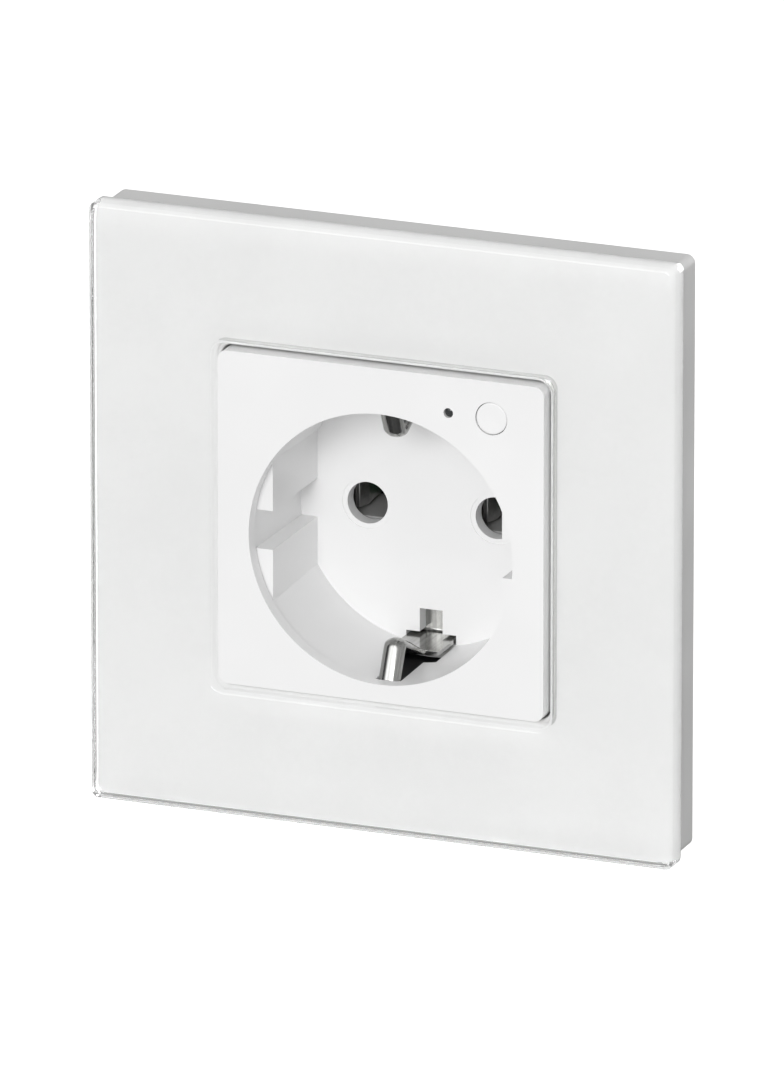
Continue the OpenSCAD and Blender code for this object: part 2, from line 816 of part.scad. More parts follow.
// Steel clips that squeeze the two leaves of each contact
module contact_springs() {
    reach = contact_half + leaf_flare + contact_t / 2 + 0.3;
    front = contact_front_y + 5.5;
    path = bent([[reach + 0.4, front], [reach, front + 1.5], [reach + 0.3, base_back_y + 1.6]], 0.7);
    color("silver") for (side = [-1, 1], turn = [0, 1]) {
        translate([side * pin_x, 0, -well_drop]) mirror([turn, 0, 0])
            translate([0, 0, -contact_h / 2 + 0.6]) linear_extrude(contact_h - 1.2) strip(path, 0.4);
    }
}

// ---------- power board ----------

module main_board() {
    color("darkgreen") slab(board_y, board_back_y) difference() {
        housing_outline(-housing_wall - board_gap);
        translate([-block_half_x - 0.6, -housing_d])
            square([2 * block_half_x + 1.2, housing_d + board_cut_z]);
        for (sx = [-1, 1]) {
            translate([sx * pillar_at[0], pillar_z]) circle(pillar_d / 2 + board_gap);
            translate([sx * pin_x, -well_drop])
                square([2 * contact_t + 0.3, contact_h + 0.3], center = true);
        }
        link_holes();
    }
}

// Places a part on the front of the power board, with its depth towards the front
module on_board(size, at) {
    block([at[0] - size[0] / 2, board_y - size[1], at[1] - size[2] / 2],
        [at[0] + size[0] / 2, board_y, at[1] + size[2] / 2]);
}

// Places a part on the back of the power board, or on top of another part there
module behind_board(size, low, off = 0) {
    block([low[0], board_back_y + off, low[1]],
        [low[0] + size[0], board_back_y + off + size[1], low[1] + size[2]]);
}

module power_relay() {
    face = [relay_size[0] - 2 * relay_rim, relay_recess + cut, relay_size[2] - 2 * relay_rim];
    color("black") difference() {
        on_board(relay_size, relay_at);
        translate([0, relay_recess - relay_size[1], 0]) on_board(face, relay_at);
    }
}

module supply_transformer() {
    size = transformer_size;
    color("gold") on_board([size[0] - winding_in, size[1], size[2]], transformer_at);
    color("dimgray") on_board([size[0], size[1] - core_step, size[2] - core_in], transformer_at);
}

module smoothing_capacitor() {
    top_y = board_y - capacitor_l;
    color("black") difference() {
        rod(capacitor_at, capacitor_d / 2, top_y, board_y);
        translate([capacitor_at[0], top_y, capacitor_at[1]]) for (turn = [0, 90]) rotate([0, turn, 0])
            block([-capacitor_vent[0] / 2, -cut, -capacitor_vent[2] / 2],
                [capacitor_vent[0] / 2, capacitor_vent[1], capacitor_vent[2] / 2]);
    }
}

module fuse() {
    color("saddlebrown") rod(fuse_at, fuse_r, board_y - fuse_l, board_y);
}

module varistor() {
    color("royalblue") on_board(varistor_size, varistor_at);
}

module metering_chip() {
    color("black") behind_board(chip_size, chip_low);
}

module shunt_resistor() {
    color("sandybrown") behind_board(shunt_size, shunt_low);
}

module radio_module() {
    color("navy") behind_board(radio_size, radio_low);
    color("silver") behind_board(radio_shield_size, radio_shield_low, radio_size[1]);
}

// ---------- terminals ----------

module terminal_block() {
    color("ivory") difference() {
        intersection() {
            block([-block_half_x, block_front_y, block_low_z], [block_half_x, block_back_y, block_top_z]);
            slab(block_front_y - cut, block_back_y + cut) housing_outline(-housing_wall - seat_gap);
        }
        for (k = [-1:1]) translate([k * terminal_pitch, 0, 0]) {
            block([-cage_w / 2 - slide_gap, cage_y - cage_l / 2 - slide_gap, pocket_low_z],
                [cage_w / 2 + slide_gap, cage_y + cage_l / 2 + slide_gap, block_top_z + cut]);
            block([-wire_d / 2 - seat_gap, cage_y, wire_z - wire_d / 2 - seat_gap],
                [wire_d / 2 + seat_gap, block_back_y + cut, block_top_z + cut]);
            block([-tongue_w / 2 - 0.1, block_front_y - cut, tongue_low_z - 0.1],
                [tongue_w / 2 + 0.1, cage_y, tongue_top_z + 0.1]);
            translate([0, cage_y, block_low_z - cut])
                cylinder(h = shoulder_z - block_low_z + cut, d = clamp_head_d + 0.4);
            translate([0, cage_y, shoulder_z - cut])
                cylinder(h = shoulder_t + 2 * cut, d = clamp_screw_d + 0.4);
        }
    }
}

module cage(k) {
    color("goldenrod") difference() {
        translate([k * terminal_pitch, 0, 0]) block(
            [-cage_w / 2, cage_y - cage_l / 2, cage_low_z], [cage_w / 2, cage_y + cage_l / 2, cage_top_z]);
        translate([k * terminal_pitch, 0, 0]) block(
            [-cage_w / 2 + cage_wall - slide_gap, cage_y - cage_l / 2 - cut, cage_low_z + cage_wall],
            [cage_w / 2 - cage_wall + slide_gap, cage_y + cage_l / 2 + cut, cage_top_z - cage_wall]);
        translate([k * terminal_pitch, cage_y, cage_low_z - cut])
            cylinder(h = cage_wall + 2 * cut, r = clamp_screw_d / 2 + run_gap);
    }
}

module clamp_screw(k) {
    color("silver") translate([k * terminal_pitch, cage_y, 0]) difference() {
        union() {
            translate([0, 0, head_low_z]) cylinder(h = head_h - run_gap, d = clamp_head_d);
            translate([0, 0, head_low_z + 1])
                cylinder(h = tongue_low_z - slide_gap - head_low_z - 1, d = clamp_screw_d);
        }
        for (turn = [0, 90]) rotate([0, 0, turn])
            block([-clamp_head_d / 2 + 0.7, -0.3, head_low_z - cut],
                [clamp_head_d / 2 - 0.7, 0.3, head_low_z + 0.9]);
    }
}

// Tongue that runs out of the block, up its front and back over it to the board
module board_tongue(k) {
    mid_z = (tongue_low_z + tongue_top_z) / 2;
    front = block_front_y - 1.4;
    over_z = block_top_z + 1.2;
    path = [[cage_y + cage_l / 2, mid_z], [front, mid_z], [front, over_z], [board_y, over_z]];
    color("goldenrod") across(tongue_w, k * terminal_pitch) strip(bent(path, 1), tongue_t);
}

module line_tongue() {
    board_tongue(-1);
}

module neutral_tongue() {
    board_tongue(1);
}

// Tongue that runs straight forward and is joined flat to the earth strap
module earth_tongue() {
    mid_z = (tongue_low_z + tongue_top_z) / 2;
    front = base_front_y - seat_gap + tongue_t / 2;
    path = [[cage_y + cage_l / 2, mid_z], [front, mid_z], [front, mid_z + 6]];
    color("goldenrod") across(tongue_w) strip(bent(path, 1), tongue_t);
}

module line_cage() { cage(-1); }
module earth_cage() { cage(0); }
module neutral_cage() { cage(1); }
module line_screw() { clamp_screw(-1); }
module earth_screw() { clamp_screw(0); }
module neutral_screw() { clamp_screw(1); }

glass_panel();
panel_film();
panel_carrier();
mounting_plate();
plate_screws();
socket_cover();
slot_liner();
rear_housing();
housing_screws();
contact_base();
base_screws();
earth_strap();
line_contact();
neutral_contact();
contact_springs();
button_cap();
switch_plunger();
tact_switch();
status_led();
light_pipe();
front_board();
link_header();
main_board();
power_relay();
supply_transformer();
smoothing_capacitor();
fuse();
varistor();
metering_chip();
shunt_resistor();
radio_module();
terminal_block();
line_tongue();
neutral_tongue();
earth_tongue();
line_cage();
neutral_cage();
earth_cage();
line_screw();
neutral_screw();
earth_screw();
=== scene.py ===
# %% [markdown]
# A flush-mounted wall socket with a glass frame and an energy meter inside. The real one is a stack:
# a pane of glass bonded to white film, a plastic carrier that clips on a steel plate, a moulded insert
# with the plug well, and behind the wall a housing with contacts, boards and terminals. Places and
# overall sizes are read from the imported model, which is loaded first, so every piece made here lands
# where it belongs.

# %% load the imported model
import bpy
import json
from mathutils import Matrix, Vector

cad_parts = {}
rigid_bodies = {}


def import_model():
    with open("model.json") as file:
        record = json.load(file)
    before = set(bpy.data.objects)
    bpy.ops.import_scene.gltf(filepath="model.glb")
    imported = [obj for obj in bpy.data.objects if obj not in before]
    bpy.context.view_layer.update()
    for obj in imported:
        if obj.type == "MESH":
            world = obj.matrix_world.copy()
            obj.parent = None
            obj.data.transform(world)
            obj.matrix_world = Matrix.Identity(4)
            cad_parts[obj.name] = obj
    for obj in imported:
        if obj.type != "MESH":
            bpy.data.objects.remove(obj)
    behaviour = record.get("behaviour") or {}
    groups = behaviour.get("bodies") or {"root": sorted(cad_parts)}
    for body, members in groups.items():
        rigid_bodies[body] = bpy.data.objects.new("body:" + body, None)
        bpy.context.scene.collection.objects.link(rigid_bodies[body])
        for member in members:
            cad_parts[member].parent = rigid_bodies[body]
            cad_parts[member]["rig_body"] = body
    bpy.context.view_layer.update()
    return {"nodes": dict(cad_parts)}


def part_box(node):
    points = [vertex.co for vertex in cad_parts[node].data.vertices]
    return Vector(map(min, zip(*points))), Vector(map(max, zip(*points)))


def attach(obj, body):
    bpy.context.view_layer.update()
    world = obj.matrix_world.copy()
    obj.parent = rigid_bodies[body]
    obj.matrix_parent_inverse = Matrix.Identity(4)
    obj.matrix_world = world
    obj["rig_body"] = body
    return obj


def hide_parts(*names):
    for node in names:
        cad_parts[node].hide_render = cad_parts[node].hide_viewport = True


for leftover in list(bpy.data.objects):
    bpy.data.objects.remove(leftover)
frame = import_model()

import json
import math

import bmesh
import numpy as np
from mathutils import Vector

MM = 0.001
nodes = frame["nodes"]


def node_box(node):
    """Lowest and highest corner of a CAD node in millimetres, as two numpy rows."""
    low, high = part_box(node)
    return np.array(low) / MM, np.array(high) / MM


glass_low, glass_high = node_box("glass_panel")
cover_low, cover_high = node_box("socket_cover")
print("glass", glass_high - glass_low, "insert", cover_high - cover_low)

# %% [markdown]
# The camera stands a little to the right of the socket and above it, and looks from far away with a
# long lens, so that upright edges stay almost parallel. A camera is made from four facts: the point it
# looks at, the direction and the distance back from there, and how long its lens is, counted in widths
# of its sensor.

# %% camera
TURN = math.radians(21.72)
RAISE = math.radians(17.79)
DISTANCE = 2.6326
LOOK_AT = Vector((-2.08, 0, -2.67)) * MM
SENSOR = 36
LENS_IN_SENSORS = 24.432

back = Vector((math.sin(TURN) * math.cos(RAISE), -math.cos(TURN) * math.cos(RAISE), math.sin(RAISE)))
camera = bpy.data.objects.new("camera", bpy.data.cameras.new("camera"))
bpy.context.scene.collection.objects.link(camera)
camera.location = LOOK_AT + back * DISTANCE
camera.rotation_mode = "QUATERNION"
camera.rotation_quaternion = back.to_track_quat("Z", "Y")
camera.data.sensor_fit = "HORIZONTAL"
camera.data.sensor_width = SENSOR
camera.data.lens = SENSOR * LENS_IN_SENSORS
bpy.context.scene.camera = camera
print("camera at", tuple(round(c, 3) for c in camera.location))

# %% [markdown]
# The world and every finish are graphs of shader nodes. A few short helpers add a node by the name of its
# kind and fill in its inputs, so a graph reads as a list of what goes into what.


# %% helpers that add shader nodes
def connect(tree, made, inputs):
    """Gives the inputs of a node their values or links, by name or number."""
    for key, value in inputs.items():
        if isinstance(value, bpy.types.NodeSocket):
            tree.links.new(value, made.inputs[key])
        else:
            made.inputs[key].default_value = value


def node(tree, kind, inputs=None, **settings):
    """Adds one shader node with its settings and inputs."""
    made = tree.nodes.new("ShaderNode" + kind)
    for key, value in settings.items():
        setattr(made, key, value)
    connect(tree, made, inputs or {})
    return made


def math_node(tree, operation, a, b=0.0):
    """Result of a Math node on two values or sockets."""
    return node(tree, "Math", {0: a, 1: b}, operation=operation).outputs[0]


def stepped(tree, value, low, high, most=1.0):
    """Socket that rises smoothly from 0 to most while value goes from low to high."""
    return node(tree, "MapRange", {"Value": value, "From Min": low, "From Max": high, "To Max": most},
        interpolation_type="SMOOTHSTEP").outputs[0]


# %% [markdown]
# A white object on white needs light that wraps round it but still comes mostly from the front, or its
# edges vanish. A wide lamp stands in front and a little above, so that its light reaches the bottom of
# the well, and a weaker one lights the back. The world adds a plain soft fill. Metal mirrors its
# surroundings, so mirrored rays see another world: a pale sky, one bright window in front, and a dark
# left side. Without something dark to mirror, the plated clips would look like grey plastic. A ray that
# goes on through glass counts as a mirrored one too, so those are sent back to the plain fill.

# %% world
world = bpy.data.worlds.new("studio")
bpy.context.scene.world = world
world.use_nodes = True
tree = world.node_tree
tree.nodes.clear()

SIDE_FILL = 0.5
FRONT_FILL = 0.12
FRONT = (-0.1, -0.97, 0.2)
WINDOW = (-0.25, -0.83, 0.5)
WINDOW_LIGHT = 1.8
DEEPEST_SHADE = 0.03
path = node(tree, "LightPath")
direction = node(tree, "TexCoord").outputs["Generated"]
compass = node(tree, "SeparateXYZ", {0: direction})


def towards(aim):
    """Cosine of the angle between the direction looked in and the aim, which has length one."""
    return node(tree, "VectorMath", {0: direction, 1: aim}, operation="DOT_PRODUCT").outputs["Value"]


front = stepped(tree, towards(FRONT), 0.0, 1.0, FRONT_FILL)
soft = math_node(tree, "ADD", SIDE_FILL, front)
sky = stepped(tree, compass.outputs["Z"], -0.2, 0.45, 0.42)
room = stepped(tree, compass.outputs["Y"], -0.1, -0.9, 0.3)
window = stepped(tree, towards(WINDOW), 0.86, 0.97, WINDOW_LIGHT)
shaded = stepped(tree, compass.outputs["X"], -0.85, -0.45)
lit = math_node(tree, "ADD", math_node(tree, "ADD", sky, room), window)
mirror = math_node(tree, "ADD", DEEPEST_SHADE, math_node(tree, "MULTIPLY", lit, shaded))
bounced = node(tree, "Math", {0: path.outputs["Is Glossy Ray"], 1: path.outputs["Is Transmission Ray"]},
    operation="SUBTRACT", use_clamp=True)
mirrored = node(tree, "Mix", {0: bounced.outputs[0], 2: soft, 3: mirror})
fill = node(tree, "Background", {"Color": (1, 1, 1, 1), "Strength": mirrored.outputs[0]})
white = node(tree, "Background", {"Color": (1, 1, 1, 1), "Strength": 1.0})
seen = node(tree, "MixShader", {0: path.outputs["Is Camera Ray"], 1: fill.outputs[0], 2: white.outputs[0]})
node(tree, "OutputWorld", {"Surface": seen.outputs[0]})
bpy.context.scene.view_settings.view_transform = "Standard"
print("world of", len(tree.nodes), "nodes")


# %% lamps
def lamp(name, place, size, power):
    """Square lamp at a place in metres, aimed at the middle of the socket."""
    light = bpy.data.lights.new(name, "AREA")
    light.shape = "SQUARE"
    light.size = size
    light.energy = power
    made = bpy.data.objects.new(name, light)
    bpy.context.scene.collection.objects.link(made)
    made.location = place
    made.rotation_mode = "QUATERNION"
    made.rotation_quaternion = Vector(place).to_track_quat("Z", "Y")


lamp("key", (0.2, -1.85, 0.62), 0.7, 18)
lamp("rear_fill", (0.3, 1.7, 0.1), 1.0, 13)

# %% [markdown]
# The floor is a plain sheet of paper, far below, which glows a little so that it stays white behind the
# object. It is hidden from light that bounces off the object, or it would light the sides from below.

# %% floor
FLOOR_Z = -0.3
FLOOR_GLOW = 0.4
floor_corners = [(-4, -0.5), (4, -0.5), (4, 4), (-4, 4)]
floor_mesh = bpy.data.meshes.new("floor")
floor_mesh.from_pydata([(x, y, FLOOR_Z) for x, y in floor_corners], [], [(0, 1, 2, 3)])
floor = bpy.data.objects.new("floor", floor_mesh)
bpy.context.scene.collection.objects.link(floor)
floor.visible_diffuse = False
floor.visible_glossy = False
paper = bpy.data.materials.new("paper")
paper.use_nodes = True
sheet = paper.node_tree.nodes["Principled BSDF"]
sheet.inputs["Base Color"].default_value = (0.95, 0.95, 0.95, 1)
sheet.inputs["Roughness"].default_value = 0.9
sheet.inputs["Emission Color"].default_value = (1, 1, 1, 1)
sheet.inputs["Emission Strength"].default_value = FLOOR_GLOW
floor_mesh.materials.append(paper)
print("floor at", FLOOR_Z)

# %% [markdown]
# Moulded plastic is never one flat colour: the mould leaves a fine grain, the colour drifts a little,
# handled edges turn smooth, and a little dust lies on faces that look up. Each of these effects is a
# node group, built once and placed in every material that needs it, so a change in one spot changes all
# of them. A group gives out masks and heights only, and the shader itself stays in the material.


# %% shared surface effects
def group(name, inputs, outputs):
    """Empty node group with named float or vector inputs and float outputs."""
    made = bpy.data.node_groups.new(name, "ShaderNodeTree")
    for key, value in inputs.items():
        kind = "NodeSocketVector" if value is None else "NodeSocketFloat"
        socket = made.interface.new_socket(key, in_out="INPUT", socket_type=kind)
        if value is not None:
            socket.default_value = value
    for key in outputs:
        made.interface.new_socket(key, in_out="OUTPUT", socket_type="NodeSocketFloat")
    return made, made.nodes.new("NodeGroupInput"), made.nodes.new("NodeGroupOutput")


# mould grain: a fine noise for the height, a broad slow one for the tone
grain, g_in, g_out = group("mould_grain", {"Vector": None, "Scale": 6000.0}, ["Height", "Tone"])
fine = node(grain, "TexNoise", {"Vector": g_in.outputs["Vector"], "Scale": g_in.outputs["Scale"],
    "Detail": 3.0, "Roughness": 0.6})
broad = node(grain, "TexNoise", {"Vector": g_in.outputs["Vector"], "Scale": 55.0, "Detail": 2.0})
both = math_node(grain, "ADD", math_node(grain, "MULTIPLY", fine.outputs[0], 0.3),
    math_node(grain, "MULTIPLY", broad.outputs[0], 0.7))
grain.links.new(fine.outputs[0], g_out.inputs["Height"])
grain.links.new(stepped(grain, both, 0.38, 0.62), g_out.inputs["Tone"])

# edge rub: the angle between the true normal and one rounded over a small radius
rub, r_in, r_out = group("edge_rub", {"Radius": 0.0003}, ["Mask"])
rounded = node(rub, "Bevel", {"Radius": r_in.outputs["Radius"]}, samples=4)
true_normal = node(rub, "NewGeometry")
agree = node(rub, "VectorMath", {0: rounded.outputs[0], 1: true_normal.outputs["Normal"]},
    operation="DOT_PRODUCT")
rub.links.new(stepped(rub, math_node(rub, "SUBTRACT", 1.0, agree.outputs["Value"]), 0.02, 0.25),
    r_out.inputs["Mask"])

# settled dust: faces that look up, broken by noise
dust, d_in, d_out = group("settled_dust", {"Vector": None}, ["Mask"])
normal = node(dust, "SeparateXYZ", {0: node(dust, "NewGeometry").outputs["Normal"]})
specks = node(dust, "TexNoise", {"Vector": d_in.outputs["Vector"], "Scale": 2500.0, "Detail": 5.0})
upward = stepped(dust, normal.outputs["Z"], 0.5, 0.95)
dust.links.new(math_node(dust, "MULTIPLY", upward, stepped(dust, specks.outputs[0], 0.45, 0.75)),
    d_out.inputs["Mask"])

# drawn streaks: noise stretched along one direction, as rolled strip and turned rod show it
streaks, s_in, s_out = group("drawn_streaks", {"Vector": None}, ["Height", "Tone"])
narrow = node(streaks, "TexNoise", {"Vector": s_in.outputs["Vector"], "Scale": 1.0, "Detail": 4.0,
    "Roughness": 0.65})
streaks.links.new(narrow.outputs[0], s_out.inputs["Height"])
streaks.links.new(stepped(streaks, narrow.outputs[0], 0.35, 0.65), s_out.inputs["Tone"])


# %% helpers that place and mix the effects
def placed(tree, shared, inputs):
    """A shared group placed in a material, with its own values."""
    made = tree.nodes.new("ShaderNodeGroup")
    made.node_tree = shared
    connect(tree, made, inputs)
    return made


def mixed(tree, amount, a, b):
    """Colour socket between a and b, by amount."""
    return node(tree, "Mix", {0: amount, 6: a, 7: b}, data_type="RGBA").outputs[2]


def shade(colour, times):
    """The colour made lighter or darker, with its alpha."""
    return tuple(min(1.0, c * times) for c in colour) + (1.0,)


# %% [markdown]
# Most of the finishes are then one call each: a colour, how rough it is, how deep its grain is, and how
# much its edges and its upper faces have changed. The bump comes from the same noise as the tone, so a
# pit in the surface is also the spot where the colour drifts, as it is on a real moulding.

# %% a finish for one slot
finishes = {}


def finish(slot, colour, roughness, metallic=0.0, scale=6000, depth=0.002, spread=0.03, rubbed=0.0,
        dusty=0.03, streak=None, coat=0.0):
    """Material for one slot of the record. scale is in grains per metre and depth in millimetres.
    streak is a stretch for each axis in lines per metre, and replaces the mould grain."""
    made = bpy.data.materials.new(slot)
    made.use_nodes = True
    tree = made.node_tree
    shader = tree.nodes["Principled BSDF"]
    where = node(tree, "TexCoord").outputs["Object"]
    if streak:
        stretched = node(tree, "Mapping", {"Vector": where, "Scale": streak})
        effect = placed(tree, streaks, {"Vector": stretched.outputs[0]})
    else:
        effect = placed(tree, grain, {"Vector": where, "Scale": float(scale)})
    tone = mixed(tree, effect.outputs["Tone"], shade(colour, 1 - spread), shade(colour, 1 + spread))
    if rubbed:
        edge = placed(tree, rub, {"Radius": 0.25 * MM})
        tone = mixed(tree, math_node(tree, "MULTIPLY", edge.outputs[0], rubbed), tone, shade(colour, 1.5))
    lying = placed(tree, dust, {"Vector": where})
    tone = mixed(tree, math_node(tree, "MULTIPLY", lying.outputs[0], dusty), tone, (0.55, 0.53, 0.5, 1))
    rough = node(tree, "MapRange", {"Value": effect.outputs["Tone"], "To Min": roughness * 0.85,
        "To Max": roughness * 1.15})
    bump = node(tree, "Bump", {"Height": effect.outputs["Height"], "Strength": 1.0, "Distance": depth * MM})
    tree.links.new(tone, shader.inputs["Base Color"])
    tree.links.new(rough.outputs[0], shader.inputs["Roughness"])
    tree.links.new(bump.outputs[0], shader.inputs["Normal"])
    shader.inputs["Metallic"].default_value = metallic
    shader.inputs["Coat Weight"].default_value = coat
    finishes[slot] = made
    return made


# %% the finishes
finish("white_film", (0.93, 0.93, 0.93), 0.55, scale=900, depth=0.0, spread=0.012, dusty=0.0)
finish("carrier_plastic", (0.75, 0.75, 0.745), 0.45, scale=7000, depth=0.004, spread=0.015)
finish("insert_plastic", (0.9, 0.9, 0.9), 0.36, scale=8000, depth=0.0015, spread=0.01, dusty=0.01)
# housing_plastic is near black partly as painted shade, so that the slots behind the earth clips look black
finish("housing_plastic", (0.022, 0.022, 0.024), 0.5, scale=3500, depth=0.012, spread=0.15, rubbed=0.3)
finish("dark_plastic", (0.028, 0.028, 0.03), 0.42, scale=5000, depth=0.006, spread=0.15, rubbed=0.2)
# grey_plastic is the contact base, seen only through the pin holes: its mid grey is painted shade, matched
# to the shaded plastic deep in those holes
finish("grey_plastic", (0.42, 0.42, 0.415), 0.4, scale=6000, depth=0.004, spread=0.1, rubbed=0.2)
finish("block_nylon", (0.72, 0.7, 0.62), 0.48, scale=3000, depth=0.01, spread=0.05, rubbed=0.2)
finish("plated_spring", (0.42, 0.42, 0.41), 0.17, 1.0, depth=0.006, spread=0.2, dusty=0.0,
    streak=(2600.0, 60.0, 60.0))
finish("zinc_steel", (0.62, 0.65, 0.68), 0.34, 1.0, depth=0.003, spread=0.14, rubbed=0.3,
    streak=(90.0, 90.0, 2600.0))
finish("screw_steel", (0.66, 0.66, 0.65), 0.26, 1.0, scale=4500, depth=0.003, spread=0.12, rubbed=0.3)
finish("contact_brass", (0.72, 0.5, 0.2), 0.24, 1.0, depth=0.002, spread=0.12, rubbed=0.25,
    streak=(140.0, 900.0, 2600.0))
finish("shield_tin", (0.7, 0.7, 0.69), 0.32, 1.0, scale=1800, depth=0.003, spread=0.1, rubbed=0.3)
finish("gold_pin", (0.9, 0.66, 0.26), 0.2, 1.0, scale=4000, depth=0.001, spread=0.06)
finish("tape_yellow", (0.78, 0.56, 0.07), 0.28, scale=2500, depth=0.006, spread=0.08, coat=0.4)
finish("fuse_brown", (0.16, 0.07, 0.03), 0.35, scale=3000, depth=0.008, spread=0.12, coat=0.3)
finish("varistor_blue", (0.03, 0.12, 0.42), 0.3, scale=1500, depth=0.02, spread=0.15, coat=0.5)
finish("shunt_alloy", (0.5, 0.36, 0.27), 0.3, 1.0, depth=0.003, spread=0.15, streak=(300.0, 300.0, 3800.0))
finish("led_yellow", (0.85, 0.75, 0.3), 0.2, scale=5000, depth=0.001, spread=0.05, coat=0.6)
# clear_plastic is the light guide, which is clear: its near-black colour is painted shade of the deep hole
# round it
finish("clear_plastic", (0.035, 0.038, 0.04), 0.12, scale=3000, depth=0.001, spread=0.1, coat=0.3, dusty=0.0)
print(len(finishes), "finishes")

# %% [markdown]
# The pane is clear glass about 4 mm thick with ground edges. A clear solid needs a true glass shader
# with a refractive index, because its whole look is how it bends what lies behind: the white film seems
# nearer than it is, and the ground edge shows as fine lines. Its colour is a slight grey, which darkens
# the long way through an edge more than the short way through the face. Light that has to pass through
# glass is slow to find by chance, so for shadow rays only the shader turns into plain transparency,
# which lets the lamps reach the film behind the pane.

# %% clear glass
glass = bpy.data.materials.new("clear_glass")
glass.use_nodes = True
tree = glass.node_tree
shader = tree.nodes["Principled BSDF"]
shader.inputs["Base Color"].default_value = (0.9, 0.905, 0.9, 1)
shader.inputs["Roughness"].default_value = 0.0
shader.inputs["IOR"].default_value = 1.52
shader.inputs["Transmission Weight"].default_value = 1.0
waves = node(tree, "TexNoise", {"Vector": node(tree, "TexCoord").outputs["Object"], "Scale": 60.0})
ripple = node(tree, "Bump", {"Height": waves.outputs[0], "Strength": 1.0, "Distance": 0.0006 * MM})
tree.links.new(ripple.outputs[0], shader.inputs["Normal"])
through = node(tree, "BsdfTransparent", {"Color": (0.55, 0.55, 0.55, 1)})
shadow_ray = node(tree, "LightPath").outputs["Is Shadow Ray"]
either = node(tree, "MixShader", {0: shadow_ray, 1: shader.outputs[0], 2: through.outputs[0]})
tree.links.new(either.outputs[0], tree.nodes["Material Output"].inputs["Surface"])
finishes["clear_glass"] = glass
print("glass of", len(tree.nodes), "nodes")

# %% [markdown]
# The boards are glass-fibre laminate under a green varnish. Copper tracks show through it as lighter
# lines, and bare pads are tinned. Tracks run in straight steps, so their pattern is a cell texture with
# the Chebyshev distance, whose cell borders run square, and the pads are small discs in a regular grid.

# %% board laminate
board = finish("board_laminate", (0.012, 0.11, 0.045), 0.3, scale=2500, depth=0.002, spread=0.15, coat=0.3)
tree = board.node_tree
shader = tree.nodes["Principled BSDF"]
varnish = shader.inputs["Base Color"].links[0].from_socket
where = node(tree, "TexCoord").outputs["Object"]
flat = node(tree, "Mapping", {"Vector": where, "Scale": (1.0, 0.0, 1.0)}).outputs[0]
TRACKS = {"Vector": flat, "Scale": 420.0, "Randomness": 0.9}
second = node(tree, "TexVoronoi", TRACKS, feature="F2", distance="CHEBYCHEV")
nearest = node(tree, "TexVoronoi", TRACKS, feature="F1", distance="CHEBYCHEV")
border = math_node(tree, "SUBTRACT", second.outputs["Distance"], nearest.outputs["Distance"])
track = math_node(tree, "SUBTRACT", 1.0, stepped(tree, border, 0.08, 0.13))
PADS_PER_METRE = 1 / 0.00254
pads = node(tree, "TexVoronoi", {"Vector": flat, "Scale": PADS_PER_METRE, "Randomness": 0.0}, feature="F1")
pad = math_node(tree, "SUBTRACT", 1.0, stepped(tree, pads.outputs["Distance"], 0.17, 0.2))
chosen = node(tree, "TexNoise", {"Vector": flat, "Scale": 130.0})
pad = math_node(tree, "MULTIPLY", pad, stepped(tree, chosen.outputs[0], 0.52, 0.56))
tracked = mixed(tree, track, varnish, (0.03, 0.2, 0.085, 1))
tinned = mixed(tree, pad, tracked, (0.6, 0.6, 0.58, 1))
tree.links.new(tinned, shader.inputs["Base Color"])
tree.links.new(math_node(tree, "MULTIPLY", pad, 0.9), shader.inputs["Metallic"])
print("laminate of", len(tree.nodes), "nodes")

# %% [markdown]
# Every new shape is a sheet of points worked out with numpy. Points run round the piece in rings, and
# the rings follow one another along it, so a piece is an array of rings, and the mesh joins each point
# to its neighbours. A piece with ends gets a flat cap on each, and a piece that closes on itself, such as
# a frame, joins its last ring to its first. The signed volume of the rings says whether the faces point
# outwards, and the points are turned round when they don't.


# %% rings into a piece
def signed_volume(rings, closed):
    """Six times the volume inside the rings: the sum of p . (q x r) over every triangle, caps included."""
    base = rings if closed else rings[:-1]
    above = np.roll(rings, -1, 0) if closed else rings[1:]
    beside, across = np.roll(base, -1, 1), np.roll(above, -1, 1)
    total = (base * np.cross(beside, across)).sum() + (base * np.cross(across, above)).sum()
    if not closed:
        total += (rings[-1].mean(0) * np.cross(rings[-1], np.roll(rings[-1], -1, 0))).sum()
        total -= (rings[0].mean(0) * np.cross(rings[0], np.roll(rings[0], -1, 0))).sum()
    return total


def piece(name, parts, slot, body, stands_for=(), sharp=32, closed=False):
    """One object from a list of arrays of rings, in millimetres. Ring i is joined to ring i + 1, and
    point j to point j + 1, which wraps round. Where closed is true, the last ring is joined to the first,
    and else each end gets a cap. sharp is the angle from which an edge stays hard."""
    points, faces = [], []
    start = 0
    for rings in parts:
        rings = np.asarray(rings, float)
        if signed_volume(rings, closed) < 0:
            rings = rings[:, ::-1]
        count, around = rings.shape[:2]
        i = np.arange(count if closed else count - 1)[:, None]
        j = np.arange(around)[None, :]
        after, beside = (i + 1) % count, (j + 1) % around
        quads = np.stack([i * around + j, i * around + beside, after * around + beside,
            after * around + j], -1)
        faces += (quads.reshape(-1, 4) + start).tolist()
        if not closed:
            ends = np.arange(around) + start
            faces += [ends[::-1].tolist(), (ends + (count - 1) * around).tolist()]
        points.append(rings.reshape(-1, 3) * MM)
        start += count * around
    mesh = bpy.data.meshes.new(name)
    mesh.from_pydata(np.concatenate(points).tolist(), [], faces)
    mesh.polygons.foreach_set("use_smooth", np.ones(len(mesh.polygons), bool))
    mesh.set_sharp_from_angle(angle=math.radians(sharp))
    mesh.materials.append(finishes[slot])
    made = bpy.data.objects.new(name, mesh)
    bpy.context.scene.collection.objects.link(made)
    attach(made, body)
    if stands_for:
        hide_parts(*stands_for)
    print(f"{name}: {len(mesh.polygons)} faces")


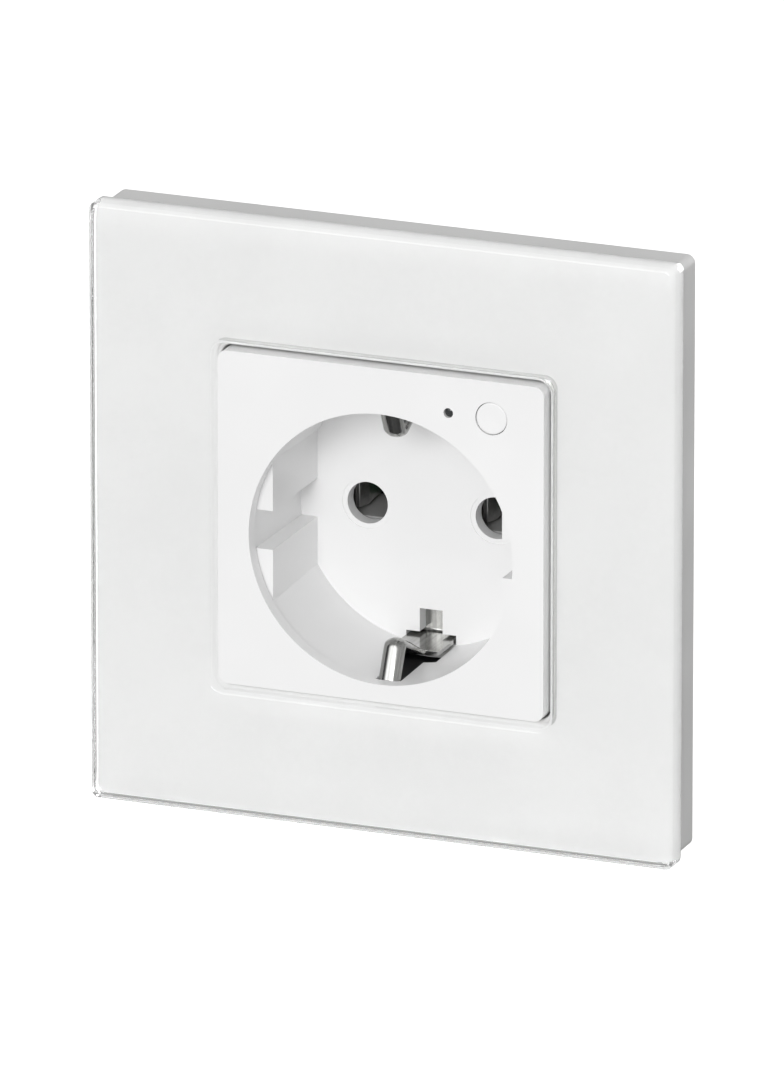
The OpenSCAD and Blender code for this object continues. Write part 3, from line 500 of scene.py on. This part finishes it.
# %% outlines, blocks, turned parts and tubes
def rounded_outline(half_x, half_z, radius, steps=8):
    """Points round a rectangle with round corners: four quarter circles, joined by straight sides."""
    turn = np.linspace(0, np.pi / 2, steps + 1)
    corner = np.stack([np.cos(turn), np.sin(turn)], -1) * radius
    sides = []
    for quarter in range(4):
        angle = quarter * np.pi / 2
        spin = np.array([[np.cos(angle), np.sin(angle)], [-np.sin(angle), np.cos(angle)]])
        sign = np.array([[1, 1], [-1, 1], [-1, -1], [1, -1]])[quarter]
        sides.append(corner @ spin + sign * (np.array([half_x, half_z]) - radius))
    return np.concatenate(sides)


def stations(middle, rows, steps=8):
    """Rings at several depths. Each row is half width, half height, corner radius and depth in Y."""
    rings = []
    for half_x, half_z, radius, y in rows:
        flat = rounded_outline(half_x, half_z, radius, steps) + np.array(middle)
        rings.append(np.stack([flat[:, 0], np.full(len(flat), y), flat[:, 1]], -1))
    return np.array(rings)


def eased_block(low, high, radius, corner=None, steps=4):
    """Rings of a block whose eight edges at its ends are quarter rounds of the given radius."""
    low, high = np.array(low, float), np.array(high, float)
    half = (high - low) / 2
    corner = radius if corner is None else corner
    turn = np.linspace(0, np.pi / 2, steps + 1)
    inset, rise = radius * (1 - np.sin(turn)), radius * (1 - np.cos(turn))
    rows = [(half[0] - a, half[2] - a, max(corner - a, 0.01), low[1] + b) for a, b in zip(inset, rise)]
    rows += [(half[0] - a, half[2] - a, max(corner - a, 0.01), high[1] - b)
        for a, b in zip(inset[::-1], rise[::-1])]
    return stations(((low + high) / 2)[[0, 2]], rows, steps)


CENTRE = 0.02


def lathe(centre, profile, around=64):
    """Rings about an axis along Y through centre (X, Z). Each row of profile is radius and depth in Y. A
    profile ends at the radius CENTRE and not at 0, where a ring would shrink to a point."""
    turn = np.linspace(0, 2 * np.pi, around, endpoint=False)
    radius, y = np.array(profile, float).T
    return np.stack([centre[0] + radius[:, None] * np.cos(turn), np.repeat(y[:, None], around, 1),
        centre[1] + radius[:, None] * np.sin(turn)], -1)


def tube(path, radius, around=10):
    """A circle carried along a path: at each point it stands square to the path's direction."""
    path = np.asarray(path, float)
    along = np.gradient(path, axis=0)
    along /= np.linalg.norm(along, axis=1)[:, None]
    side = np.cross(along, [0.31, 0.17, 0.93])
    side /= np.linalg.norm(side, axis=1)[:, None]
    up = np.cross(along, side)
    turn = np.linspace(0, 2 * np.pi, around, endpoint=False)[None, :, None]
    return path[:, None] + radius * (np.cos(turn) * side[:, None] + np.sin(turn) * up[:, None])


def arc(centre, radius, start, end, steps=6):
    """Rows of (radius, depth) for a profile: an arc between two angles in degrees."""
    turn = np.radians(np.linspace(start, end, steps + 1))
    return [(centre[0] + radius * np.cos(a), centre[1] + radius * np.sin(a)) for a in turn]


# %% [markdown]
# The pane is one closed frame: its section is a thin rectangle with ground corners, carried round a
# square. Each point of that section is drawn as a square ring of its own size and depth, and joining
# the last ring to the first closes the solid. The white film is a second, thinner frame. It is bonded
# to the glass, so its front is set a hair inside the pane: with air between them, the pane would mirror
# at its back and the film would look grey.

# %% glass pane
half = glass_high[0]
front_y, back_y = glass_low[1], glass_high[1]
ground = 0.5
arris = 0.06
corner = 1.0
opening_half = cover_high[0] + 1.0
opening_corner = 2.0
dull = arris * 0.4
outer = [(half - ground - arris, front_y), (half - ground + dull, front_y + dull),
    (half - dull, front_y + ground - dull), (half, front_y + ground + arris),
    (half, back_y - ground / 2 - arris), (half - dull, back_y - ground / 2 + dull),
    (half - ground / 2, back_y)]
inner = [(opening_half, back_y), (opening_half, front_y + ground + arris),
    (opening_half + dull, front_y + ground - dull), (opening_half + ground - dull, front_y + dull),
    (opening_half + ground + arris, front_y)]
rows = [(side, side, corner, y) for side, y in outer]
rows += [(side, side, opening_corner + side - opening_half, y) for side, y in inner]
piece("glass_pane", [stations((0, 0), rows, steps=12)], "clear_glass", "panel",
    ["glass_panel"], sharp=50, closed=True)

# %% white film
film_low, film_high = node_box("panel_film")
bond = 0.02
film_half = film_high[0]
hole_half = opening_half + 0.4
rows = [(film_half, film_half, corner, film_low[1] - bond), (film_half, film_half, corner, film_high[1]),
    (hole_half, hole_half, opening_corner, film_high[1]),
    (hole_half, hole_half, opening_corner, film_low[1] - bond)]
piece("film_sheet", [stations((0, 0), rows, steps=12)], "white_film", "panel", ["panel_film"],
    closed=True)

# %% [markdown]
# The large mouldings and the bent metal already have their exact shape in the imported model, but a
# CAD edge is perfectly sharp and catches no light. Real edges are eased by the mould, or rolled by the
# press. So a copy of each is merged into one clean mesh, its edges get a narrow bevel, and weighted
# normals keep the flat faces flat. The width is the edge radius of that material: about a quarter of a
# millimetre on thick plastic, and about a tenth on sheet metal.


# %% eased copies of the CAD parts
def eased(node_name, width, slot):
    """Bevelled copy of a CAD node. Its loose triangles are merged first, then flat ones are joined."""
    source = nodes[node_name]
    shape = bmesh.new()
    shape.from_mesh(source.data)
    bmesh.ops.remove_doubles(shape, verts=shape.verts, dist=0.002 * MM)
    bmesh.ops.dissolve_limit(shape, angle_limit=math.radians(0.5), verts=shape.verts, edges=shape.edges)
    mesh = bpy.data.meshes.new(node_name + "_eased")
    shape.to_mesh(mesh)
    shape.free()
    mesh.polygons.foreach_set("use_smooth", np.ones(len(mesh.polygons), bool))
    mesh.set_sharp_from_angle(angle=math.radians(30))
    mesh.materials.clear()
    mesh.materials.append(finishes[slot])
    made = bpy.data.objects.new(node_name + "_eased", mesh)
    bpy.context.scene.collection.objects.link(made)
    edges = made.modifiers.new("edges", "BEVEL")
    edges.width = width * MM
    edges.segments = 2
    edges.limit_method = "ANGLE"
    edges.angle_limit = math.radians(25)
    weighted = made.modifiers.new("weighted", "WEIGHTED_NORMAL")
    weighted.keep_sharp = True
    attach(made, source["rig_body"])
    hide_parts(node_name)
    return made


# slot_liner is a dark sheet lining the slots behind the earth clips: painted shade, so that those slots look
# black
EASED = {
    "panel_carrier": (0.25, "carrier_plastic"), "socket_cover": (0.18, "insert_plastic"),
    "rear_housing": (0.3, "housing_plastic"), "mounting_plate": (0.12, "zinc_steel"),
    "contact_base": (0.2, "grey_plastic"), "slot_liner": (0.08, "dark_plastic"),
    "line_contact": (0.1, "shield_tin"), "neutral_contact": (0.1, "shield_tin"),
    "contact_springs": (0.06, "plated_spring"), "terminal_block": (0.15, "block_nylon"),
    "line_tongue": (0.12, "contact_brass"), "neutral_tongue": (0.12, "contact_brass"),
    "earth_tongue": (0.12, "contact_brass"), "line_cage": (0.15, "contact_brass"),
    "neutral_cage": (0.15, "contact_brass"), "earth_cage": (0.15, "contact_brass"),
    "power_relay": (0.3, "dark_plastic"), "front_board": (0.05, "board_laminate"),
    "main_board": (0.05, "board_laminate"),
}
for node_name, (width, slot) in EASED.items():
    eased(node_name, width, slot)
print(len(EASED), "parts with eased edges")

# %% [markdown]
# The button is a round cap: a barely dished face with a rolled rim that stands in a hole with a fine
# gap, and a wider foot behind the insert that keeps it in. A dark plunger behind it presses the switch.
# Both are profiles spun about the same axis. The light guide is a third one, with a domed end; its
# near-black colour is painted shade.

# %% button
cap_low, cap_high = node_box("button_cap")
tip_low, tip_high = node_box("switch_plunger")
button_at = ((cap_low + cap_high) / 2)[[0, 2]]
foot_r = (cap_high[0] - cap_low[0]) / 2
cap_r = foot_r - 0.7
tip_r = (tip_high[0] - tip_low[0]) / 2
rim = 0.22
cover_wall = 2.2
foot_y = cover_low[1] + cover_wall + 0.1
dish = 0.05
out = np.linspace(CENTRE, cap_r - rim, 8)
face = list(zip(out, cap_low[1] + dish * (1 - (out / (cap_r - rim)) ** 2) ** 2))
face += arc((cap_r - rim, cap_low[1] + rim), rim, -80, 0)
profile = face + [(cap_r, foot_y), (foot_r - 0.1, foot_y), (foot_r, foot_y + 0.1), (foot_r, foot_y + 0.4),
    (foot_r - 0.1, foot_y + 0.5), (tip_r, foot_y + 0.5), (tip_r, cap_high[1]), (CENTRE, cap_high[1])]
piece("button_face", [lathe(button_at, profile, 96)], "insert_plastic", "button", ["button_cap"])

# %% plunger
profile = [(CENTRE, tip_low[1]), (tip_r - 0.15, tip_low[1]), (tip_r, tip_low[1] + 0.15),
    (tip_r, tip_high[1] - 0.3), (tip_r - 0.3, tip_high[1]), (CENTRE, tip_high[1])]
piece("plunger_tip", [lathe(button_at, profile)], "dark_plastic", "button", ["switch_plunger"])

# %% light guide
pipe_low, pipe_high = node_box("light_pipe")
light_at = ((pipe_low + pipe_high) / 2)[[0, 2]]
collar_r = (pipe_high[0] - pipe_low[0]) / 2
guide_r = collar_r - 0.45
dome = [(guide_r * math.sin(a), pipe_low[1] + 0.25 * (1 - math.cos(a))) for a in np.linspace(0.03, 1.57, 8)]
profile = dome + [(guide_r, foot_y - 0.1), (collar_r, foot_y - 0.1), (collar_r, foot_y + 0.7),
    (guide_r, foot_y + 0.7), (guide_r, pipe_high[1]), (CENTRE, pipe_high[1])]
piece("light_guide", [lathe(light_at, profile)], "clear_plastic", "module", ["light_pipe"])

# %% [markdown]
# The earth clips are the one bright metal part in view. Each is a finger of plated spring steel that
# leaves the wall of the well, curves over in a round hump where the plug's contact rubs, and runs back
# to the strap behind the floor. The finger is pressed to a crowned section, so its middle stands higher
# than its two edges, and that is why the highlight on it is narrow. A crowned strip is a section carried
# along a path: the path is worked out in the Y-Z plane, and the section bends away from the well.

# %% earth clips
strap_low, strap_high = node_box("earth_strap")
face_y = cover_low[1]
well_z = (strap_low[2] + strap_high[2]) / 2
well_r = 19.8
clip_half = 1.6
clip_t = 0.7
crown = 0.55
widen_y = face_y + 12.5
leg_r = well_r - 1.3


def fillet(points, radii, steps=10):
    """Path through points whose inner corners are arcs: each arc touches both sides of its corner."""
    path = [points[0]]
    for before, here, after, radius in zip(points, points[1:], points[2:], radii):
        a = (before - here) / np.linalg.norm(before - here)
        b = (after - here) / np.linalg.norm(after - here)
        half_angle = math.acos(float(a @ b)) / 2
        middle = (a + b) / np.linalg.norm(a + b)
        centre = here + middle * radius / math.sin(half_angle)
        reach = radius / math.tan(half_angle)
        s, e = here + a * reach - centre, here + b * reach - centre
        angle = math.acos(float(np.clip(s @ e / radius ** 2, -1, 1)))
        part = np.linspace(0, 1, steps)[:, None]
        path += list(centre + (np.sin((1 - part) * angle) * s + np.sin(part * angle) * e) / math.sin(angle))
    return np.array(path + [points[-1]])


def crowned_strip(path, half_width, thickness, rise, across=14):
    """Section carried along a Y-Z path. Across the width x the top sinks by rise * |x / half| ** 2.5, and
    the lower side runs the same curve one thickness below, with the two joined by a round edge."""
    along = np.gradient(path, axis=0)
    along /= np.linalg.norm(along, axis=1)[:, None]
    out = np.stack([along[:, 1], -along[:, 0]], -1)
    x = np.linspace(-1, 1, across)
    sink = rise[:, None] * np.abs(x) ** 2.5
    edge = 0.12
    top = np.stack([x * (half_width - edge), np.zeros(across)], -1)
    x_all = np.concatenate([top[:, 0], [half_width], top[::-1, 0], [-half_width]])
    level = np.concatenate([np.full(across, thickness / 2), [0], np.full(across, -thickness / 2), [0]])
    sink_all = np.concatenate([sink, sink[:, -1:], sink[:, ::-1], sink[:, :1]], 1)
    offset = level[None, :] - sink_all
    flat = path[:, None, :] + out[:, None, :] * offset[..., None]
    return np.stack([np.repeat(x_all[None], len(path), 0), flat[..., 0], flat[..., 1]], -1)


def clip(side):
    """Rings of one clip. side is -1 for the lower clip and 1 for the upper one."""
    points = np.array([(face_y + 2.95, well_r - 0.05), (face_y + 3.25, well_r - 0.7),
        (face_y + 5.4, well_r - 5.4), (face_y + 8.2, well_r - 4.1), (widen_y, leg_r),
        (widen_y + 0.6, leg_r)])
    path = fillet(points, (0.6, 1.4, 2.0, 2.0))
    fade = np.clip((widen_y - 2.6 - path[:, 0]) / 1.6, 0, 1)
    rise = crown * fade * fade * (3 - 2 * fade)
    rings = crowned_strip(path, clip_half, clip_t, rise)
    rings[..., 2] = well_z + side * rings[..., 2]
    return rings


clips = [clip(side) for side in (-1, 1)]
piece("earth_clips", clips, "plated_spring", "module", ["earth_strap"], sharp=40)

strap = eased("earth_strap", 0.12, "plated_spring")
trimmed = bmesh.new()
trimmed.from_mesh(strap.data)
cut = bmesh.ops.bisect_plane(trimmed, geom=trimmed.verts[:] + trimmed.edges[:] + trimmed.faces[:],
    plane_co=(0, (widen_y + 0.02) * MM, 0), plane_no=(0, -1, 0), clear_outer=True)
rims = [e for e in cut["geom_cut"] if isinstance(e, bmesh.types.BMEdge)]
bmesh.ops.holes_fill(trimmed, edges=rims)
trimmed.to_mesh(strap.data)
trimmed.free()
print("strap behind the floor:", len(strap.data.polygons), "faces")

# %% [markdown]
# A screw is one grid of points: rings run round its axis, from the tip along the shank to the head and
# in to the middle of the recess. The thread is a ripple on the radius that climbs one pitch a turn, so
# the radius depends on both the ring and the angle. The cross recess is a ripple of another kind: near
# the middle of the head the surface sinks wherever a point lies inside either arm of the cross.


# %% one screw
AROUND = 72


def even(rows):
    """Radius and depth of rows of a profile, each repeated all the way round."""
    rows = np.array(rows, float)
    return np.repeat(rows[:, :1], AROUND, 1), np.repeat(rows[:, 1:], AROUND, 1)


def screw(place, axis, head_r, head_h, shank_r, length, pitch, sunk=False, arm=(0.9, 0.2, 0.8)):
    """Rings of a screw. place is the middle of its head's top, and axis the way it points. The radius of
    the shank is shank_r less a wave of depth 0.17 pitch, whose phase is 2 pi depth / pitch - turn. arm
    is how far the cross reaches, half its width, and how deep it is."""
    place, axis = np.array(place, float), np.array(axis, float)
    turn = np.linspace(0, 2 * np.pi, AROUND, endpoint=False)
    deep = np.arange(length - 0.35, head_h + 0.1, -pitch / 8)
    wave = 0.5 + 0.5 * np.cos(2 * np.pi * (deep[:, None] / pitch) - turn)
    shank = shank_r - 0.17 * pitch * wave ** 2, np.repeat(deep[:, None], AROUND, 1)
    tip = even([(CENTRE, length), (shank_r * 0.72, length), (shank_r * 0.8, length - 0.2)])
    under = even([(shank_r, head_h), (head_r - 0.05, 0.25 if sunk else head_h),
        (head_r, 0.2 if sunk else head_h - 0.08), (head_r, 0.15), (head_r - 0.05, 0.04),
        (head_r - 0.15, 0.0)])
    top = even([(r, 0.0) for r in np.linspace(head_r - 0.2, CENTRE, 30)])
    radius, depth = [np.concatenate(part) for part in zip(tip, shank, under, top)]
    u, v = radius * np.cos(turn), radius * np.sin(turn)
    reach, half_w, sink = arm
    level = np.clip((reach - np.abs(u)) / 0.15, 0, 1) * np.clip((half_w - np.abs(v)) / 0.08 + 0.5, 0, 1)
    upright = np.clip((reach - np.abs(v)) / 0.15, 0, 1) * np.clip((half_w - np.abs(u)) / 0.08 + 0.5, 0, 1)
    cross = np.maximum(level, upright) * sink * (1 - 0.5 * radius / head_r)
    depth[-30:] += cross[-30:]
    side = np.cross(axis, [0.0, 0.0, 1.0] if abs(axis[2]) < 0.5 else [1.0, 0.0, 0.0])
    up = np.cross(axis, side)
    return place + depth[..., None] * axis + u[..., None] * side + v[..., None] * up


# %% plate, housing and base screws
low, high = node_box("plate_screws")
head_r = 1.9
at = high[0] - head_r
plate_screws = [screw((x * at, low[1], z * at), (0, 1, 0), head_r, 0.9, 1.0, high[1] - low[1], 0.45,
    sunk=True, arm=(1.1, 0.24, 0.5)) for x in (-1, 1) for z in (-1, 1)]
piece("plate_screw_set", plate_screws, "screw_steel", "module", ["plate_screws"])

low, high = node_box("housing_screws")
head_r = (high[2] - low[2]) / 2
at, level = high[0] - head_r, (high[2] + low[2]) / 2
housing_screws = [screw((x * at, high[1], level), (0, -1, 0), head_r, 1.4, 1.0, high[1] - low[1], 0.8,
    arm=(1.2, 0.27, 0.7)) for x in (-1, 1)]
piece("housing_screw_set", housing_screws, "screw_steel", "module", ["housing_screws"])

low, high = node_box("base_screws")
head_r = (high[0] - low[0]) / 2
at, level = (high[2] - low[2]) / 2 - head_r, (high[2] + low[2]) / 2
base_screws = [screw((0, high[1], level + z * at), (0, -1, 0), head_r, 1.2, 0.95, high[1] - low[1], 0.7,
    arm=(1.0, 0.22, 0.6)) for z in (-1, 1)]
piece("base_screw_set", base_screws, "screw_steel", "module", ["base_screws"])

# %% clamp screws
for terminal in ("line", "neutral", "earth"):
    low, high = node_box(terminal + "_screw")
    middle = (low + high) / 2
    head_r = (high[0] - low[0]) / 2
    rings = screw((middle[0], middle[1], low[2]), (0, 0, 1), head_r, 1.54, 1.5, high[2] - low[2], 0.5,
        arm=(1.7, 0.3, 0.9))
    piece(terminal + "_clamp_screw", [rings], "screw_steel", terminal + "_screw",
        [terminal + "_screw"])

# %% [markdown]
# Parts on the boards come from a few families: blocks with eased edges, turned cans, dipped discs on two
# wire legs, and flat packages with bent feet. Each family is a short function of the part's own box,
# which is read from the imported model, so the detailed part fills the same space as its plain solid. The
# solder on the back of the board is one small cone for each leg that comes through.

# %% legs and dipped bodies
board_low, board_high = node_box("main_board")
solder_at = []


def legs(places, front, radius=0.3):
    """Straight wire legs through the board at several (X, Z) places, with their solder noted."""
    rings = []
    for x, z in places:
        solder_at.append((x, z))
        rings.append(tube([(x, front, z), (x, board_low[1], z), (x, board_high[1] + 1.0, z)], radius))
    return rings


def dipped_disc(low, high, sag):
    """Rings of a disc dipped in resin: a lathe profile that is a super-ellipse, laid across Z, with a
    small skirt of resin at the legs. low and high are its box, and sag is how far the skirt runs."""
    middle, half = (low + high) / 2, (high - low) / 2
    turn = np.linspace(0, 2 * np.pi, AROUND, endpoint=False)
    lift = np.linspace(-1, 1, 15)
    radius = np.maximum((1 - np.abs(lift) ** 3.2) ** (1 / 2.4), 0.01)
    x = middle[0] + half[0] * radius[:, None] * np.cos(turn)
    drop = np.where(np.sin(turn) > 0.6, sag * (np.abs(np.cos(2.1 * turn)) ** 6), 0.0)
    y = middle[1] - sag / 2 + (half[1] - sag / 2) * radius[:, None] * np.sin(turn) + drop * radius[:, None]
    z = np.repeat(middle[2] + half[2] * lift[:, None], AROUND, 1)
    return np.stack([x, y, z], -1)


print("power board from", board_low[1], "to", board_high[1])

# %% capacitor: a can in a shrunk sleeve, with a bead near its foot and a vented top
low, high = node_box("smoothing_capacitor")
centre, can_r = ((low + high) / 2)[[0, 2]], (high[0] - low[0]) / 2
bend = 0.5
bead = 0.35
top_r = can_r - 0.9
profile = [(CENTRE, low[1] + 0.12), (top_r, low[1] + 0.12), (can_r - 0.75, low[1])]
profile += arc((can_r - bend, low[1] + bend), bend, -90, 0)
profile += [(can_r, high[1] - 2.6), (can_r - bead, high[1] - 2.2), (can_r - bead, high[1] - 1.9),
    (can_r, high[1] - 1.5), (can_r, high[1] - bend)]
profile += arc((can_r - bend, high[1] - bend), bend, 0, 90)
profile += [(can_r - 1.0, high[1]), (can_r - 1.0, high[1] - 0.3), (CENTRE, high[1] - 0.3)]
piece("capacitor_sleeve", [lathe(centre, profile)], "dark_plastic", "module", ["smoothing_capacitor"])

VENT_AROUND = 96
score_half, score_reach, score_depth = 0.14, 2.2, 0.12
turn = np.linspace(0, 2 * np.pi, VENT_AROUND, endpoint=False)
spread = np.linspace(top_r, CENTRE, 24)[:, None]
x, z = spread * np.cos(turn), spread * np.sin(turn)
score = np.maximum((np.abs(x) < score_half) * (np.abs(z) < score_reach),
    (np.abs(z) < score_half) * (np.abs(x) < score_reach))
vent = np.stack([centre[0] + x, low[1] + 0.02 + score_depth * score, centre[1] + z], -1)
foot = lathe(centre, [(CENTRE, low[1] + 0.4), (top_r, low[1] + 0.4)], VENT_AROUND)
piece("capacitor_top", [np.concatenate([foot, vent])], "shield_tin", "module")
leg_places = [(centre[0] + x, centre[1]) for x in (-1.75, 1.75)]
piece("capacitor_legs", legs(leg_places, high[1] - 0.4), "shield_tin", "module")

# %% varistor and fuse
low, high = node_box("varistor")
middle = (low + high) / 2
piece("varistor_disc", [dipped_disc(low, high - [0, 1.0, 0], 1.2)], "varistor_blue", "module", ["varistor"])
leg_places = [(middle[0] + x, middle[2] + z) for x, z in ((-2.5, -0.6), (2.5, 0.6))]
piece("varistor_legs", legs(leg_places, middle[1]), "shield_tin", "module")

low, high = node_box("fuse")
centre, fuse_r = ((low + high) / 2)[[0, 2]], (high[0] - low[0]) / 2
profile = [(CENTRE, low[1] + 0.05), (fuse_r - 0.6, low[1])]
profile += arc((fuse_r - bend, low[1] + bend), bend, -90, 0)
profile += [(fuse_r, high[1] - 0.9), (fuse_r - 0.3, high[1] - 0.6), (fuse_r - 0.3, high[1] - 0.4),
    (CENTRE, high[1] - 0.4)]
piece("fuse_body", [lathe(centre, profile)], "fuse_brown", "module", ["fuse"])
leg_places = [(centre[0] + x, centre[1]) for x in (-1.2, 1.2)]
piece("fuse_legs", legs(leg_places, high[1] - 0.6), "shield_tin", "module")

# %% transformer: a yellow-taped winding between dark cheeks, in a ferrite core
low, high = node_box("supply_transformer")
middle = (low + high) / 2
core_t = 0.8
inset = np.array([core_t, 0, 0])
wind = eased_block(low + inset + [0, 1.4, 0.5], high - inset - [0, 2.6, 0.5], 0.5, 1.6)
piece("transformer_winding", [wind], "tape_yellow", "module", ["supply_transformer"])
spans = [(low[1] + 0.7, low[1] + 1.6), (high[1] - 2.8, high[1] - 1.9), (high[1] - 2.0, high[1])]
cheeks = [eased_block((low[0] + core_t, near, low[2]), (high[0] - core_t, far, high[2]), 0.2, 0.5)
    for near, far in spans]
piece("transformer_bobbin", cheeks, "dark_plastic", "module")
core = [eased_block((x, low[1] + 3.0, low[2] + 1.0), (x + 0.75, high[1], high[2] - 1.0), 0.15, 0.15)
    for x in (low[0], high[0] - 0.75)]
core.append(eased_block((low[0], low[1], middle[2] - 1.5), (high[0], low[1] + 0.65, middle[2] + 1.5),
    0.15, 0.15))
piece("transformer_core", core, "dark_plastic", "module")
pins = [(middle[0] + x, middle[2] + z) for x in (-2.5, 2.5) for z in (-2.5, 0, 2.5)]
piece("transformer_pins", legs(pins, high[1] - 1.0, 0.25), "shield_tin", "module")

# %% relay pins
low, high = node_box("power_relay")
near_x, far_x, coil_x = low[0] + 2.5, high[0] - 4.0, high[0] - 8.5
rows_z = high[2] - 2.0, low[2] + 2.0
relay_pins = [(x, z) for x in (near_x, far_x) for z in rows_z] + [(coil_x, (low[2] + high[2]) / 2)]
piece("relay_pins", legs(relay_pins, high[1] - 1.0, 0.4), "shield_tin", "module")


# %% parts on the back of the power board
def feet(low, high, count, pitch, spread):
    """Bent feet of a flat package: a square wire that leaves the side, drops to the board and runs out."""
    rings = []
    middle = (low + high) / 2
    for side in (-1, 1):
        edge = high[0] if side > 0 else low[0]
        for k in range(count):
            z = middle[2] + (k - (count - 1) / 2) * pitch
            route = [(-0.2, middle[1]), (spread * 0.3, middle[1]), (spread * 0.55, low[1] + 0.35),
                (spread * 0.7, low[1] + 0.14), (spread, low[1] + 0.13)]
            rings.append(tube([(edge + side * out, y, z) for out, y in route], 0.13, 4))
    return rings


low, high = node_box("metering_chip")
body_low, body_high = low + [0.5, 0.1, 0], high - [0.5, 0, 0]
piece("metering_chip_body", [eased_block(body_low, body_high, 0.12, 0.12)], "dark_plastic", "module",
    ["metering_chip"])
piece("metering_chip_feet", feet(body_low - [0, 0.1, 0], body_high, 12, 0.76, 0.45), "shield_tin",
    "module")

low, high = node_box("shunt_resistor")
piece("shunt_strip", [eased_block(low + [1.1, 0.1, 0], high - [1.1, 0.1, 0], 0.1, 0.1)], "shunt_alloy",
    "module", ["shunt_resistor"])
end_l = 1.4
ends = [eased_block((x, low[1], low[2]), (x + end_l, high[1], high[2]), 0.12, 0.12)
    for x in (low[0], high[0] - end_l)]
piece("shunt_ends", ends, "shield_tin", "module")

# %% radio: a small board, a pressed shield with a folded lip, and an antenna track in steps
low, high = node_box("radio_module")
board_t = 0.8
radio_top = np.array([high[0], low[1] + board_t, high[2]])
piece("radio_board", [eased_block(low, radio_top, 0.06, 0.3)], "board_laminate", "module",
    ["radio_module"])
can_low, can_high = low + [1, board_t, 1], np.array([high[0] - 1, high[1], low[2] + 12.5])
can_mid, can_half = ((can_low + can_high) / 2)[[0, 2]], ((can_high - can_low) / 2)[[0, 2]]
top = can_high[1]
levels = [(0.0, 0.4, can_low[1]), (0.0, 0.4, can_low[1] + 0.5), (0.15, 0.35, can_low[1] + 0.6),
    (0.15, 0.35, top - 0.25), (0.22, 0.3, top - 0.08), (0.4, 0.3, top), (1.0, 0.3, top),
    (1.15, 0.3, top - 0.08)]
rows = [(*(can_half - inward), corner, y) for inward, corner, y in levels]
rows.append((0.05, 0.05, 0.02, top - 0.08))
piece("radio_shield", [stations(can_mid, rows, 4)], "shield_tin", "module")
steps = np.arange(12)
x = low[0] + 1.6 + np.repeat(steps, 2)[1:-1] * 1.15
z = np.where(np.repeat(steps, 2)[:-2] % 2 == 0, high[2] - 0.7, high[2] - 3.6)
antenna = np.stack([x, np.full(len(x), low[1] + board_t + 0.02), z], -1)
piece("radio_antenna", [tube(antenna, 0.12, 6)], "gold_pin", "module")

# %% switch: a dark body under a tin lid with a round hole
low, high = node_box("tact_switch")
middle = (low + high) / 2
lid_t = 0.35
piece("switch_body", [eased_block(low + [0, lid_t, 0], high, 0.15, 0.3)], "dark_plastic", "module",
    ["tact_switch"])
hole_r = 1.35
outer = rounded_outline((high[0] - low[0]) / 2 - 0.1, (high[2] - low[2]) / 2 - 0.1, 0.3, 8)
angle = np.arctan2(outer[:, 1], outer[:, 0])
hole = np.stack([np.cos(angle), np.sin(angle)], -1) * hole_r
lid = [np.stack([middle[0] + ring[:, 0], np.full(len(ring), low[1] + y), middle[2] + ring[:, 1]], -1)
    for ring, y in ((outer, lid_t), (outer * 0.985, 0.02), (hole, 0.02), (hole, lid_t))]
piece("switch_lid", [np.array(lid)], "shield_tin", "module", closed=True)

# %% status light
low, high = node_box("status_led")
piece("status_light_body", [eased_block(low + [0.3, 0, 0], high - [0.3, 0, 0], 0.12, 0.15)], "led_yellow",
    "module", ["status_led"])
ends = [eased_block((x, low[1] + 0.25, low[2]), (x + 0.35, high[1], high[2]), 0.06, 0.06)
    for x in (low[0], high[0] - 0.35)]
piece("status_light_ends", ends, "shield_tin", "module")

# %% pin link between the boards
low, high = node_box("link_header")
PIN_PITCH = 1.27
pin_z = [(low[2] + high[2]) / 2 + (k - 1.5) * PIN_PITCH for k in range(4)]
pin_x = (low[0] + high[0]) / 2
pin_half = 0.22
front_low, front_high = node_box("front_board")
pins = [eased_block((pin_x - pin_half, low[1], z - pin_half), (pin_x + pin_half, high[1], z + pin_half),
    0.1, 0.05, 2) for z in pin_z]
piece("link_pins", pins, "gold_pin", "module", ["link_header"])
strip_h = 1.6
strips = [eased_block((pin_x - 0.8, y, z - 0.6), (pin_x + 0.8, y + strip_h, z + 0.6), 0.1, 0.25, 2)
    for y in (front_high[1], board_low[1] - strip_h) for z in pin_z]
piece("link_strips", strips, "dark_plastic", "module")

# %% small resistors with tinned ends, in free spots of the front board
spots = [(front_high[0] - 3.2, front_low[2] + 1.6), (front_high[0] - 6.0, front_high[2] - 9.2),
    (front_high[0] - 10.5, front_high[2] - 1.6), (front_high[0] - 12.6, front_high[2] - 1.4)]
front = front_low[1]
chips = [eased_block((x - 0.45, front - 0.45, z - 0.4), (x + 0.45, front, z + 0.4), 0.05, 0.05, 2)
    for x, z in spots]
tins = [eased_block((x + s, front - 0.5, z - 0.42), (x + s + 0.35, front, z + 0.42), 0.08, 0.08, 2)
    for x, z in spots for s in (-0.8, 0.45)]
piece("front_resistors", chips, "dark_plastic", "module")
piece("front_resistor_ends", tins, "shield_tin", "module")

# %% solder
cone = [(CENTRE, 1.1), (0.3, 1.05), (0.38, 0.75), (0.55, 0.35), (0.85, 0.08), (0.95, 0.0), (0.95, -0.05),
    (CENTRE, -0.05)]
joints = [lathe(at, [(r, board_high[1] + y) for r, y in cone], 16) for at in solder_at]
piece("solder_joints", joints, "shield_tin", "module")
print(len(solder_at), "solder joints")
